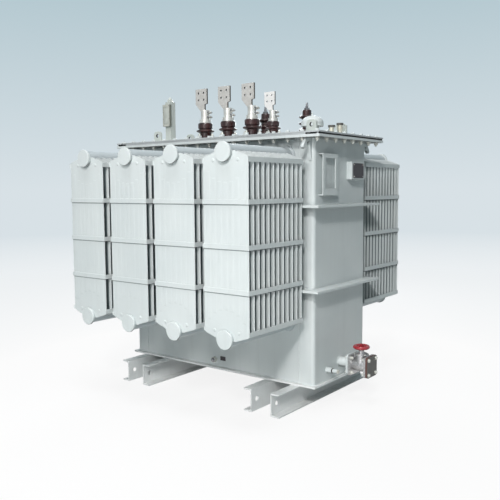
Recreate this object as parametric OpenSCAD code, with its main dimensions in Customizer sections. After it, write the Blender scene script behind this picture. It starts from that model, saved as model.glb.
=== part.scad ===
// Oil-immersed power transformer with panel radiators on both long sides.
// X runs along the tank, Y across it and Z up. The floor is at Z = 0.

/* [Skids] */
// Height of the skid channels
skid_h = 140; // [100:1:180]
// Width of the channel flanges
skid_flange_w = 58; // [45:1:75]
// Thickness of the channel webs
skid_web_t = 6; // [5:0.5:10]
// Mean thickness of the channel flanges
skid_flange_t = 9.5; // [7:0.5:14]
// Length of the skids across the tank
skid_l = 1082; // [900:1:1200]
// Distance between the centres of the two skid pairs
skid_gauge = 1070; // [900:1:1150]
// Clear gap between the two webs of a pair
skid_gap = 140; // [110:1:170]
// Diameter of the wheel axle holes
axle_d = 30; // [20:1:45]
// Distance of the axle holes from the skid ends
axle_inset = 55; // [40:1:90]

/* [Tank] */
// Length of the tank over its walls
tank_l = 1510; // [1450:1:1600]
// Width of the tank over its walls
tank_w = 618; // [560:1:700]
// Height of the tank walls
wall_h = 1477; // [1440:1:1550]
// Thickness of the tank walls
wall_t = 8; // [5:0.5:12]
// Outer radius of the bent tank corners
corner_r = 20; // [13:1:30]
// Length of the bent return of each end wall
return_l = 105; // [60:1:140]
// Thickness of the bottom plate
base_t = 12; // [8:1:20]
// Lip of the bottom plate beyond the walls
base_lip = 20; // [10:1:40]

/* [Rim and cover] */
// Overhang of the rim and cover beyond the tank walls
rim_overhang = 84; // [78:1:110]
// Thickness of the rim flange
rim_t = 15; // [12:1:25]
// Thickness of the cover gasket
gasket_t = 10; // [5:1:12]
// Distance of the gasket from the rim edge along the long sides
gasket_inset = 1; // [0.5:0.5:10]
// Distance of the gasket from the rim edge at the ends
gasket_end_inset = 6; // [2:1:20]
// Length of the open slot at each end of the long sides
rim_slot_l = 78; // [40:1:120]
// Depth of the open slots
rim_slot_d = 40; // [20:1:60]
// Width of the gasket between a slot and the gasket's end
rim_slot_end = 8; // [5:1:20]
// Thickness of the cover plate
cover_t = 9; // [8:1:20]

/* [Stiffeners] */
// Projection of the stiffener bars from the walls
stiffener_w = 70; // [40:1:75]
// Thickness of the stiffener bars
stiffener_t = 14; // [8:1:20]
// Height of the lower stiffener above the bottom plate's underside
stiffener_low_z = 580; // [480:1:650]
// Height of the upper stiffener above the bottom plate's underside
stiffener_high_z = 1073; // [1000:1:1150]

/* [Radiators] */
// Number of panels in each radiator
panel_count = 12; // [8:1:12]
// Distance between neighbouring panels
panel_pitch = 45; // [40:1:50]
// Distance from the tank wall to the first panel's mid plane
panel_first = 81; // [80:1:95]
// Thickness of the two welded sheets at a panel's edge
panel_sheet_t = 3; // [2:0.5:5]
// Number of flutes across a panel
flute_count = 7; // [5:1:9]
// Plain border of a panel outside its flutes
panel_edge = 17; // [10:1:25]
// Flat land between neighbouring flutes
flute_land = 5; // [3:1:12]
// Width of a flute's sloping side
flute_side = 8; // [4:1:12]
// Thickness of a panel over its flutes
flute_t = 6; // [5:0.5:10]
// Length of the sloping end of a flute
flute_ramp = 14; // [8:1:20]
// Border between the flutes' round end line and the panel's edge
flute_end_border = 5; // [2:1:8]
// Distance between the axes of the two headers
header_spacing = 1000; // [950:1:1030]
// Height of the lower header axis above the bottom plate's underside
header_low_z = 379; // [350:1:420]
// Outside diameter of the header pipes
header_d = 89; // [76:1:98]
// Diameter of the header end caps
cap_d = 107; // [102:1:114]
// Thickness of the header end caps
cap_t = 12; // [8:1:18]
// Edge radius of the header end caps
cap_edge_r = 3; // [1:0.5:6]
// Distance from the last panel's mid plane to the end cap's outer face
cap_reach = 27; // [24:1:40]
// Diameter of the weld collar at the tank wall
collar_d = 113; // [104:1:130]
// Length of the weld collar at the tank wall
collar_l = 14; // [8:1:20]
// Drop from the header axis to a panel's shoulder corner
shoulder_drop = 30; // [24:1:50]
// Radius of a panel's shoulder corner
shoulder_r = 16; // [10:1:22]
// Width of a panel's neck at the header
neck_w = 116; // [114:1:130]
// Rise from the header axis to a panel's neck
neck_rise = 6; // [1:1:16]
// Gap between the panels of neighbouring radiators
radiator_gap = 68; // [40:1:90]
// Distance of the outer panels' edges from the tank's end walls
radiator_margin = 33; // [20:1:60]

/* [Radiator tie bars] */
// Height of the tie bars on the panel edges
tie_h = 26; // [18:1:32]
// Thickness of the tie bars on the panel edges
tie_t = 4; // [3:0.5:6]
// Distance between the three middle tie-bar levels
tie_pitch = 238; // [200:1:245]
// Distance of the end tie bars from the header axes
tie_end_inset = 43; // [36:1:60]
// Thickness of the straps across the outer panel
strap_t = 4; // [3:0.5:6]

/* [Lifting gear] */
// Distance of the tank hooks from the tank's end walls
hook_inset = 17; // [12:1:60]
// Thickness of the tank hooks
hook_t = 18; // [12:1:24]
// Width of the tank hooks where they meet the rim
hook_top_w = 56; // [45:1:66]
// Projection of the hook's nose from the wall
hook_w = 90; // [78:1:96]
// Width of the hook's nose
hook_nose_w = 24; // [18:1:28]
// Drop of the hook's nose below the rim
hook_drop = 64; // [54:1:80]
// Drop of the hook's wall leg below the rim
hook_tail = 130; // [110:1:170]
// Width of the wall leg's lower end
hook_foot_w = 5; // [3:1:12]
// Radius of the hook's throat
hook_throat_r = 17; // [12:1:20]
// Distance of the cover lugs from the cover's ends
lug_inset = 188; // [140:1:240]
// Distance of the cover lugs from the middle across the tank
lug_y = 171; // [150:1:220]
// Width of the cover lugs
lug_w = 70; // [50:1:90]
// Height of the cover lugs
lug_h = 88; // [78:1:110]
// Thickness of the cover lugs
lug_t = 14; // [10:1:20]
// Diameter of the hole in the cover lugs
lug_hole_d = 26; // [20:1:34]
// Height of the lug hole above the cover
lug_hole_z = 58; // [45:1:60]

/* [Low-voltage bushings] */
// Distance of the low-voltage row from the middle
lv_y = 140; // [120:1:170]
// Place of the first low-voltage bushing along the tank
lv_first_x = -225; // [-260:1:-200]
// Distance between the phase bushings
lv_pitch = 201; // [185:1:215]
// Distance from the last phase bushing to the neutral bushing
lv_neutral_pitch = 166; // [160:1:185]
// Size of the neutral bushing against the phase bushings
neutral_scale = 0.8; // [0.7:0.05:1]
// Radius of the porcelain foot
lv_foot_r = 50; // [47:1:54]
// Radius of the porcelain body
lv_body_r = 42; // [36:1:45]
// Radius of the porcelain shed
lv_shed_r = 61; // [55:1:66]
// Height of the shed's rim above the cover
lv_shed_z = 68; // [60:1:76]
// Radius of the upper porcelain ring
lv_ring_r = 49; // [45:1:54]
// Height of the porcelain above the cover
lv_porcelain_h = 122; // [114:1:136]
// Radius of the metal cap on the porcelain
lv_cap_r = 38; // [31:1:42]
// Height of the metal cap on the porcelain
lv_cap_h = 24; // [18:1:30]
// Radius of the stud clamp
clamp_r = 29; // [24:1:34]
// Height of the stud clamp
clamp_h = 62; // [56:1:74]
// Radius of the clamp's two squeeze ears
clamp_ear_r = 9; // [8:1:13]
// Gap between the squeeze ears
clamp_slit = 5; // [3:0.5:8]
// Width of the terminal palm
palm_w = 100; // [90:1:120]
// Height of the terminal palm
palm_h = 100; // [90:1:120]
// Thickness of the terminal palm
palm_t = 13; // [8:1:18]
// Rise of the palm above the clamp
palm_rise = 45; // [36:1:56]
// Distance of the palm's right edge from the stud axis
palm_right = 20; // [12:1:26]
// Distance between the palm holes
palm_hole_pitch = 46; // [40:1:54]
// Diameter of the palm holes
palm_hole_d = 14; // [10:1:18]

/* [High-voltage bushings] */
// Distance of the high-voltage row from the middle
hv_y = 200; // [180:1:230]
// Place of the middle high-voltage bushing along the tank
hv_mid_x = 35; // [0:1:50]
// Distance between the high-voltage bushings
hv_pitch = 342; // [320:1:360]
// Radius of the porcelain foot
hv_foot_r = 44; // [40:1:50]
// Radius of the porcelain core
hv_core_r = 30; // [26:1:34]
// Radius of the sheds
hv_shed_r = 54; // [48:1:60]
// Number of sheds
hv_shed_count = 3; // [2:1:3]
// Height of the lowest shed's rim above the cover
hv_shed_z = 62; // [56:1:68]
// Distance between the sheds
hv_shed_pitch = 43; // [40:1:46]
// Height of the porcelain above the cover
hv_porcelain_h = 197; // [190:1:206]
// Diameter of the terminal stud
hv_stud_d = 16; // [12:1:20]
// Height of the terminal stud's tip above the cover
hv_stud_z = 243; // [236:1:256]
// Radius of the stud's metal cap
hv_cap_r = 20; // [16:1:24]
// Height of the stud's metal cap
hv_cap_h = 12; // [8:1:18]

/* [Bushing flanges] */
// Width of the clamping flange round a bushing foot
seat_w = 22; // [18:1:28]
// Thickness of the clamping flange
seat_t = 16; // [10:1:20]
// Height of the hold-down claws above the cover
claw_h = 34; // [26:1:44]
// Width of the hold-down claws
claw_w = 20; // [14:1:26]

/* [Cover fittings] */
// Distance of the relief valve from the cover's right end
relief_inset = 293; // [279:1:309]
// Radius of the relief valve's dome
relief_r = 70; // [62:1:78]
// Height of the dome's lower edge above the cover
relief_skirt_z = 63; // [55:1:72]
// Height of the dome's straight skirt
relief_skirt_h = 22; // [14:1:30]
// Height of the dome's top above the cover
relief_h = 130; // [120:1:145]
// Height of the indicator pin above the dome
relief_pin_h = 18; // [10:1:30]
// Distance of the oil gauge post from the cover's left end
post_inset = 245; // [219:1:269]
// Distance of the oil gauge post from the middle
post_y = 100; // [80:1:120]
// Side of the square oil gauge post
post_side = 50; // [42:1:60]
// Height of the oil gauge post
post_h = 296; // [260:1:330]
// Height of the post's pointed cap
post_cap_h = 36; // [25:1:50]
// Width of the gauge window
window_w = 66; // [56:1:74]
// Height of the gauge window
window_h = 154; // [120:1:170]
// Depth of the gauge window frame
window_d = 19; // [12:1:30]
// Distance from the gauge window's top to the post's top
window_drop = 19; // [5:1:30]
// Distance of the pocket row from the cover's right end
pocket_inset = 139; // [124:1:149]
// Place of the first pocket across the tank
pocket_first_y = -25; // [-40:1:-10]
// Distance between the first two pockets
pocket_pitch = 102; // [90:1:110]
// Distance from the second pocket to the vent
vent_pitch = 69; // [60:1:80]
// Height of the first pocket
pocket_low_h = 59; // [48:1:75]
// Height of the second pocket
pocket_high_h = 79; // [65:1:95]
// Diameter of the pockets' bodies
pocket_d = 34; // [28:1:38]
// Diameter of the pockets' caps
pocket_cap_d = 42; // [38:1:48]
// Diameter of the vent
vent_d = 22; // [16:1:28]
// Height of the vent
vent_h = 71; // [55:1:90]

/* [End wall fittings] */
// Depth of the bracket from the end wall
bracket_d = 30; // [24:1:45]
// Thickness of the bracket sheet
bracket_t = 5; // [3:0.5:6]
// Width of the bracket
bracket_w = 171; // [140:1:180]
// Height of the bracket
bracket_h = 244; // [230:1:270]
// Place of the bracket's middle across the tank
bracket_y = -175; // [-190:1:-165]
// Height of the bracket's lower edge above the bottom plate's underside
bracket_z = 1143; // [1130:1:1160]
// Width of the bracket's window
bracket_window_w = 112; // [90:1:125]
// Height of the bracket's window
bracket_window_h = 178; // [150:1:190]
// Height of the window's sill above the bracket's lower edge
bracket_sill = 40; // [30:1:50]
// Depth of the plate box from the end wall
box_d = 37; // [28:1:48]
// Width of the plate box
box_w = 162; // [140:1:170]
// Height of the plate box
box_h = 109; // [95:1:120]
// Place of the plate box's middle across the tank
box_y = 149; // [135:1:165]
// Height of the plate box's lower edge above the bottom plate's underside
box_z = 1238; // [1225:1:1255]
// Border of the plate box above and below the rating plate
plate_border = 9; // [6:1:14]
// Border of the plate box beside the rating plate
plate_side_border = 15; // [8:1:22]
// Thickness of the rating plate
plate_t = 3; // [2:0.5:4]

/* [Drain valve] */
// Place of the drain axis across the tank
drain_y = 0; // [-20:1:20]
// Height of the drain axis above the bottom plate's underside
drain_z = 100; // [90:1:120]
// Diameter of the drain pipe
drain_pipe_d = 63; // [50:1:70]
// Length of the drain pipe to its flange
drain_pipe_l = 77; // [66:1:100]
// Side of the square flanges
drain_flange = 128; // [110:1:140]
// Thickness of the square flanges
drain_flange_t = 13; // [10:1:18]
// Corner radius of the square flanges
drain_flange_r = 18; // [10:1:24]
// Length of the valve between its flange faces
valve_l = 120; // [110:1:140]
// Radius of the valve's barrel at its middle
valve_r = 41; // [37:1:45]
// Radius of the valve's barrel at its flanges
valve_end_r = 33; // [28:1:36]
// Radius of the valve's neck under the bonnet
neck_r = 36; // [30:1:38]
// Radius of the valve's neck at the drain axis
neck_foot_r = 39; // [36:1:42]
// Height of the bonnet flange above the drain axis
bonnet_z = 62; // [56:1:70]
// Radius of the bonnet flange
bonnet_r = 46; // [40:1:46]
// Thickness of the bonnet flange
bonnet_t = 12; // [8:1:16]
// Step from the bonnet's rim to its upper ring
bonnet_step = 10; // [4:1:12]
// Radius of the stem gland
gland_r = 17; // [14:1:22]
// Height of the stem gland above the bonnet
gland_h = 18; // [12:1:22]
// Diameter of the valve stem
stem_d = 14; // [10:1:18]
// Radial clearance of the stem in its gland
stem_clearance = 0.05; // [0.02:0.01:0.1]
// Length of the stem inside the bonnet
stem_engagement = 24; // [15:1:28]
// Height of the handwheel's middle above the drain axis
wheel_z = 112; // [112:1:130]
// Diameter of the handwheel
wheel_d = 104; // [90:1:120]
// Thickness of the handwheel's rim
wheel_rim_d = 22; // [14:1:22]
// Radius of the handwheel's hub
wheel_hub_r = 15; // [12:1:18]
// Height of the handwheel's hub
wheel_hub_h = 20; // [14:1:22]
// Number of spokes in the handwheel
spoke_count = 5; // [3:1:6]
// Diameter of the spokes
spoke_d = 9; // [6:1:12]

/* [Small wall fittings] */
// Place of the sampling plug across the tank
plug_y = -156; // [-180:1:-140]
// Height of the sampling plug above the bottom plate's underside
plug_z = 79; // [65:1:95]
// Diameter of the sampling plug
plug_d = 27; // [20:1:32]
// Length of the sampling plug
plug_l = 73; // [55:1:85]
// Diameter of the boss that the plug sits in
plug_boss_d = 35; // [33:1:45]
// Length of the plug's boss
plug_boss_l = 36; // [24:1:45]
// Place of the earth terminal along the tank
earth_x = -16; // [-40:1:20]
// Height of the earth terminal above the bottom plate's underside
earth_z = 57; // [50:1:70]
// Diameter of the earth terminal's boss
earth_d = 36; // [28:1:44]
// Length of the earth terminal's boss
earth_l = 20; // [12:1:30]
// Diameter of the earth terminal's thread
earth_hole_d = 12; // [8:1:16]

/* [Hidden] */

$fn = 48;
overlap = 1;
seat_gap = 0.3;
radiator_count = 4;
lv_phase_count = 3;
hv_count = 3;
claw_count = 4;

PAINT = [0.83, 0.87, 0.87];
PORCELAIN = [0.24, 0.08, 0.07];
TINNED = [0.78, 0.77, 0.74];
VALVE_METAL = [0.62, 0.6, 0.57];
DARK = [0.2, 0.19, 0.18];
RED = [0.75, 0.1, 0.1];
BRASS = [0.75, 0.66, 0.45];
CREAM = [0.8, 0.79, 0.7];

// Levels of the tank, from the floor up
tank_z = skid_h;
wall_z = tank_z + base_t;
wall_top = wall_z + wall_h;
cover_z = wall_top + gasket_t;
cover_top = cover_z + cover_t;
rim_l = tank_l + 2 * rim_overhang;
rim_w = tank_w + 2 * rim_overhang;

// The drain valve stands out at one end, so the middle of the whole object lies off the tank's middle
drain_flange_x = tank_l / 2 + drain_pipe_l;
valve_x = drain_flange_x + drain_flange_t;
blank_x = valve_x + valve_l;
reach_x = blank_x + drain_flange_t;
frame_x = (rim_l / 2 - reach_x) / 2;

// Places of the cover fittings along the tank
lug_x = rim_l / 2 - lug_inset;
relief_x = rim_l / 2 - relief_inset;
post_x = post_inset - rim_l / 2;
pocket_x = rim_l / 2 - pocket_inset;

// Radiator levels and places: the four radiators of a side share the tank's length
panel_w = (tank_l - 2 * radiator_margin - (radiator_count - 1) * radiator_gap) / radiator_count;
radiator_pitch = panel_w + radiator_gap;
flute_pitch = (panel_w - 2 * panel_edge + flute_land) / flute_count;
flute_w = flute_pitch - flute_land;
flute_end_r = panel_w / 2 - flute_end_border;
tie_end = header_spacing / 2 - tie_end_inset;
header_z = tank_z + header_low_z;
radiator_mid_z = header_z + header_spacing / 2;
panel_y = tank_w / 2 + panel_first;
panel_last_y = panel_y + (panel_count - 1) * panel_pitch;
cap_y = panel_last_y + cap_reach;

valve_z = tank_z + drain_z;
valve_mid_x = valve_x + valve_l / 2;

function oval(cx, cy, rx, ry, a0, a1, n) = [for (i = [0:n]) [cx + rx * cos(a0 + (a1 - a0) * i / n),
                                                             cy + ry * sin(a0 + (a1 - a0) * i / n)]];
function arc(cx, cy, r, a0, a1, n) = oval(cx, cy, r, r, a0, a1, n);
function flip_x(points) = [for (i = [len(points) - 1:-1:0]) [-points[i][0], points[i][1]]];
function turn(points, h) = [for (p = points) [-p[0], h - p[1]]];
function row_x(number, pitch, count) = (number - (count + 1) / 2) * pitch;

module placed() {
    translate([frame_x, 0, 0]) children();
}

module both_sides() {
    children();
    mirror([0, 1, 0]) children();
}

module both_ends() {
    children();
    mirror([1, 0, 0]) children();
}

module box(x0, x1, y0, y1, z0, z1) {
    translate([x0, y0, z0]) cube([x1 - x0, y1 - y0, z1 - z0]);
}

module rounded_rect(l, w, r) {
    square([l - 2 * r, w], center = true);
    square([l, w - 2 * r], center = true);
    for (x = [-1, 1]) {
        for (y = [-1, 1]) {
            translate([x * (l / 2 - r), y * (w / 2 - r)]) circle(r);
        }
    }
}

module along_x() {
    rotate([90, 0, 90]) children();
}

module along_y() {
    rotate([90, 0, 0]) children();
}

// Skids: channels with tapered flanges that point away from the gap of their pair
module channel_profile() {
    tip = skid_flange_t - skid_flange_w / 30;
    root = skid_flange_t + skid_flange_w / 30;
    polygon([
        [0, 0], [skid_flange_w, 0], [skid_flange_w, tip], [skid_web_t, root],
        [skid_web_t, skid_h - root], [skid_flange_w, skid_h - tip], [skid_flange_w, skid_h], [0, skid_h]
    ]);
}

module skid_channel() {
    difference() {
        along_y() linear_extrude(skid_l, center = true) channel_profile();
        for (y = [-1, 1]) {
            translate([-overlap, y * (skid_l / 2 - axle_inset), skid_h / 2])
                along_x() cylinder(d = axle_d, h = skid_web_t + 2 * overlap);
        }
    }
}

module skid(side, outward) {
    color(PAINT) placed() translate([side * skid_gauge / 2 + outward * skid_gap / 2, 0, 0])
        mirror([outward < 0 ? 1 : 0, 0, 0]) skid_channel();
}

module left_outer_skid() { skid(-1, -1); }
module left_inner_skid() { skid(-1, 1); }
module right_inner_skid() { skid(1, -1); }
module right_outer_skid() { skid(1, 1); }

// Tank shell
module bottom_plate() {
    color(PAINT) placed() translate([0, 0, tank_z + base_t / 2])
        cube([tank_l + 2 * base_lip, tank_w + 2 * base_lip, base_t], center = true);
}

module tank_outline() {
    rounded_rect(tank_l, tank_w, corner_r);
}

module tank_inside() {
    rounded_rect(tank_l - 2 * wall_t, tank_w - 2 * wall_t, corner_r - wall_t);
}

module side_wall(side) {
    half = tank_l / 2 - return_l;
    color(PAINT) placed() translate([0, side * (tank_w - wall_t) / 2, wall_z + wall_h / 2])
        cube([2 * half, wall_t, wall_h], center = true);
}

module front_wall() { side_wall(-1); }
module back_wall() { side_wall(1); }

module bent_end() {
    translate([0, 0, wall_z]) linear_extrude(wall_h) intersection() {
        difference() {
            tank_outline();
            tank_inside();
        }
        translate([tank_l / 2 - return_l, -tank_w]) square([2 * return_l, 2 * tank_w]);
    }
}

module right_end_wall() {
    color(PAINT) placed() bent_end();
}

module left_end_wall() {
    color(PAINT) placed() mirror([1, 0, 0]) bent_end();
}

// Rim, gasket and cover
module tank_flange() {
    color(PAINT) placed() translate([0, 0, wall_top - rim_t]) linear_extrude(rim_t) difference() {
        square([rim_l, rim_w], center = true);
        tank_outline();
    }
}

module cover_gasket() {
    l = rim_l - 2 * gasket_end_inset;
    w = rim_w - 2 * gasket_inset;
    slot_x = l / 2 - rim_slot_end - rim_slot_l / 2;
    color(DARK) placed() translate([0, 0, wall_top]) linear_extrude(gasket_t) difference() {
        square([l, w], center = true);
        tank_inside();
        for (x = [-slot_x, slot_x]) {
            for (y = [-w / 2, w / 2]) {
                translate([x, y]) square([rim_slot_l, 2 * rim_slot_d], center = true);
            }
        }
    }
}

module cover_plate() {
    color(PAINT) placed() translate([0, 0, cover_z + cover_t / 2])
        cube([rim_l, rim_w, cover_t], center = true);
}

// Stiffener bars: the bars of the long sides close the corners, those of the ends lie between them
module side_stiffeners() {
    half = tank_l / 2 + stiffener_w;
    color(PAINT) placed() both_sides() for (z = [stiffener_low_z, stiffener_high_z]) {
        translate([0, 0, tank_z + z]) box(-half, half, tank_w / 2, tank_w / 2 + stiffener_w, 0, stiffener_t);
    }
}

module end_stiffeners() {
    half = tank_w / 2;
    color(PAINT) placed() both_ends() for (z = [stiffener_low_z, stiffener_high_z]) {
        translate([0, 0, tank_z + z]) box(tank_l / 2, tank_l / 2 + stiffener_w, -half, half, 0, stiffener_t);
    }
}

// Radiator panel, with the lower header axis at the local origin
notch_r = header_d / 2 + seat_gap;
notch_a = asin(neck_rise / notch_r);
notch_steps = 4;
shoulder_turn = 72;

module panel_outline() {
    shoulder_z = header_spacing - shoulder_drop - shoulder_r / 2;
    shoulder = concat(arc(panel_w / 2 - shoulder_r, shoulder_z, shoulder_r, 0, shoulder_turn, 3),
                      [[neck_w / 2, header_spacing + neck_rise]]);
    corner_r = notch_r / cos((90 + notch_a) / (2 * notch_steps));
    notch = arc(0, header_spacing, corner_r, notch_a, -90, notch_steps);
    top_right = concat(shoulder, notch);
    top = concat(top_right, flip_x(top_right));
    polygon(concat(top, turn(top, header_spacing)));
}

// Flute with sloping sides and ends, which stops at a round line about each header
module flute(x) {
    end = sqrt(flute_end_r * flute_end_r - x * x);
    top = header_spacing - end;
    side = flute_w / 2;
    crown = side - flute_side;
    t = flute_t / 2;
    translate([x, 0, 0]) intersection() {
        linear_extrude(header_spacing)
            polygon([[-side, 0], [-crown, -t], [crown, -t], [side, 0], [crown, t], [-crown, t]]);
        rotate([0, -90, 0]) linear_extrude(flute_w, center = true)
            polygon([[end, 0], [end + flute_ramp, -t], [top - flute_ramp, -t],
                     [top, 0], [top - flute_ramp, t], [end + flute_ramp, t]]);
    }
}

module radiator_panel() {
    along_y() linear_extrude(panel_sheet_t, center = true) panel_outline();
    for (i = [1:flute_count]) {
        flute(row_x(i, flute_pitch, flute_count));
    }
}

module radiator(number, side) {
    color(PAINT) placed() translate([row_x(number, radiator_pitch, radiator_count), 0, header_z])
        for (k = [0:panel_count - 1]) {
            translate([0, side * (panel_y + k * panel_pitch), 0]) radiator_panel();
        }
}

// Header pipes with a weld collar at the tank and a round cap past the last panel
module header_pipe() {
    r = header_d / 2;
    cap_back = cap_y - cap_t;
    edge = cap_edge_r;
    profile = concat(
        [[0, tank_w / 2]],
        oval(r, tank_w / 2, collar_d / 2 - r, collar_l, 0, 90, 4),
        [[r, cap_back], [cap_d / 2, cap_back]],
        arc(cap_d / 2 - edge, cap_y - edge, edge, 0, 90, 4),
        [[0, cap_y]]
    );
    rotate([-90, 0, 0]) rotate_extrude() polygon(profile);
}

module headers(side) {
    color(PAINT) placed() mirror([0, side < 0 ? 1 : 0, 0]) for (i = [1:radiator_count]) {
        for (z = [0, header_spacing]) {
            translate([row_x(i, radiator_pitch, radiator_count), 0, header_z + z]) header_pipe();
        }
    }
}

module front_headers() { headers(-1); }
module back_headers() { headers(1); }

// Tie bars along the panel edges at five levels, with straps across the outer panel at the middle three
module tie_bars(side) {
    y0 = panel_y - panel_pitch / 4;
    face_y = panel_last_y + flute_t / 2;
    y1 = face_y + strap_t;
    color(PAINT) placed() mirror([0, side < 0 ? 1 : 0, 0]) for (i = [1:radiator_count]) {
        translate([row_x(i, radiator_pitch, radiator_count), 0, radiator_mid_z]) {
            both_ends() for (z = [-tie_end, -tie_pitch, 0, tie_pitch, tie_end]) {
                box(panel_w / 2, panel_w / 2 + tie_t, y0, y1, z - tie_h / 2, z + tie_h / 2);
            }
            for (z = [-tie_pitch, 0, tie_pitch]) {
                half = panel_w / 2 - seat_gap;
                box(-half, half, face_y, y1, z - tie_h / 2, z + tie_h / 2);
            }
        }
    }
}

module front_tie_bars() { tie_bars(-1); }
module back_tie_bars() { tie_bars(1); }

// Lifting gear
module hook_profile() {
    nose_r = hook_nose_w / 2;
    nose_y = hook_w - nose_r;
    front_a = 20;
    back_a = -150;
    throat_a = 165;
    polygon(concat(
        [[0, 0], [hook_top_w, 0]],
        arc(nose_y, nose_r - hook_drop, nose_r, front_a, back_a, 8),
        arc(nose_y / 2, hook_nose_w - hook_drop, hook_throat_r, -front_a, throat_a, 8),
        [[hook_foot_w, -hook_tail], [0, -hook_tail]]
    ));
}

module tank_lifting_hooks() {
    color(PAINT) placed() both_ends() both_sides()
        translate([tank_l / 2 - hook_inset - hook_t, tank_w / 2, wall_top - rim_t])
            along_x() linear_extrude(hook_t) hook_profile();
}

module cover_lug() {
    r = lug_w / 3;
    top = concat(arc(lug_w / 2 - r, lug_h - r, r, 0, 90, 5), arc(r - lug_w / 2, lug_h - r, r, 90, 180, 5));
    along_y() linear_extrude(lug_t, center = true) difference() {
        polygon(concat([[-lug_w / 2, 0], [lug_w / 2, 0]], top));
        translate([0, lug_hole_z]) circle(d = lug_hole_d);
    }
}

module cover_lifting_lugs() {
    color(PAINT) placed() both_ends() both_sides() translate([lug_x, lug_y, cover_top]) cover_lug();
}

// Bushings
lv_x = [for (i = [0:lv_phase_count]) lv_first_x + min(i, lv_phase_count - 1) * lv_pitch
                                     + max(i - lv_phase_count + 1, 0) * lv_neutral_pitch];
hv_x = [for (i = [1:hv_count]) hv_mid_x + row_x(i, hv_pitch, hv_count)];

module at_lv() {
    for (i = [0:lv_phase_count]) {
        translate([lv_x[i], -lv_y, cover_top]) scale(i < lv_phase_count ? 1 : neutral_scale) children();
    }
}

module at_hv() {
    for (x = hv_x) {
        translate([x, hv_y, cover_top]) children();
    }
}

module lv_porcelain() {
    rim = 6;
    groove_z = lv_shed_z + 2 * rim;
    round_r = 8;
    rotate_extrude() polygon(concat(
        [[0, 0], [lv_foot_r, 0], [lv_foot_r, seat_t], [lv_body_r, seat_t + rim]],
        [[lv_body_r, lv_shed_z - 2 * rim]],
        arc(lv_shed_r - rim, lv_shed_z, rim, -80, 90, 6),
        [[lv_body_r, groove_z], [lv_body_r, groove_z + rim / 2]],
        arc(lv_ring_r - round_r / 2, groove_z + round_r, round_r / 2, -90, 0, 3),
        arc(lv_ring_r - round_r, lv_porcelain_h - round_r, round_r, 0, 90, 4),
        [[0, lv_porcelain_h]]
    ));
}

module lv_bushings() {
    color(PORCELAIN) placed() at_lv() lv_porcelain();
}

module palm_holes() {
    for (x = [-1, 1]) {
        for (z = [-1, 1]) {
            translate([x * palm_hole_pitch / 2, z * palm_hole_pitch / 2]) circle(d = palm_hole_d);
        }
    }
}

// Terminal: a cap on the porcelain, a split clamp round the stud and a flat palm set to one side
module lv_terminal() {
    clamp_z = lv_porcelain_h + lv_cap_h;
    clamp_top = clamp_z + clamp_h;
    palm_z = clamp_top + palm_rise;
    palm_left = palm_right - palm_w;
    notch_x = palm_right - palm_w / 5;
    waist_z = clamp_top - clamp_h / 4;
    ear_x = clamp_r + clamp_ear_r;
    translate([0, 0, lv_porcelain_h]) cylinder(r = lv_cap_r, h = lv_cap_h);
    difference() {
        union() {
            translate([0, 0, clamp_z]) cylinder(r = clamp_r, h = clamp_h);
            for (z = [clamp_z + clamp_h / 4, clamp_top - clamp_h / 4]) {
                box(0, ear_x, -clamp_r / 2, clamp_r / 2, z - clamp_ear_r, z + clamp_ear_r);
                translate([ear_x, clamp_r / 2, z]) along_y() cylinder(r = clamp_ear_r, h = clamp_r);
            }
        }
        box(clamp_r / 2, ear_x + 2 * clamp_ear_r, -clamp_slit / 2, clamp_slit / 2,
            clamp_z, clamp_top + overlap);
    }
    along_y() linear_extrude(palm_t, center = true) difference() {
        polygon([
            [-clamp_r, waist_z], [notch_x, waist_z], [notch_x, palm_z - palm_h / 20],
            [palm_right, palm_z], [palm_right, palm_z + palm_h], [palm_left, palm_z + palm_h],
            [palm_left, palm_z], [-clamp_r, clamp_top - clamp_h / 5]
        ]);
        translate([(palm_left + palm_right) / 2, palm_z + palm_h / 2]) palm_holes();
    }
}

module lv_terminals() {
    color(TINNED) placed() at_lv() lv_terminal();
}

module hv_porcelain() {
    rim = 5;
    shed_pitch = hv_shed_pitch;
    sheds = [for (i = [0:hv_shed_count - 1], p = concat(
        [[hv_core_r, hv_shed_z + i * shed_pitch - 3 * rim]],
        arc(hv_shed_r - rim, hv_shed_z + i * shed_pitch, rim, -70, 90, 5),
        [[hv_core_r, hv_shed_z + i * shed_pitch + 3 * rim]]
    )) p];
    rotate_extrude() polygon(concat(
        [[0, 0], [hv_foot_r, 0], [hv_foot_r, seat_t], [hv_core_r, seat_t + 2 * rim]],
        sheds,
        arc(hv_core_r - 2 * rim, hv_porcelain_h - 2 * rim, 2 * rim, 0, 90, 4),
        [[0, hv_porcelain_h]]
    ));
}

module hv_bushings() {
    color(PORCELAIN) placed() at_hv() hv_porcelain();
}

module hv_terminals() {
    color(TINNED) placed() at_hv() {
        translate([0, 0, hv_porcelain_h]) cylinder(r = hv_cap_r, h = hv_cap_h, $fn = 6);
        translate([0, 0, hv_porcelain_h]) cylinder(d = hv_stud_d, h = hv_stud_z - hv_porcelain_h);
    }
}

// Clamping flanges round the bushing feet, each with hold-down claws
module bushing_flange(foot_r) {
    outer = foot_r + seat_w;
    inner = foot_r + seat_gap;
    difference() {
        cylinder(r = outer, h = seat_t);
        translate([0, 0, -overlap]) cylinder(r = inner, h = seat_t + 2 * overlap);
    }
    for (i = [1:claw_count]) {
        rotate([0, 0, i * 360 / claw_count])
            box(inner + seat_gap, outer - seat_gap, -claw_w / 2, claw_w / 2, seat_t / 2, claw_h);
    }
}

module bushing_flanges() {
    color(PAINT) placed() {
        at_lv() bushing_flange(lv_foot_r);
        at_hv() bushing_flange(hv_foot_r);
    }
}

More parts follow.
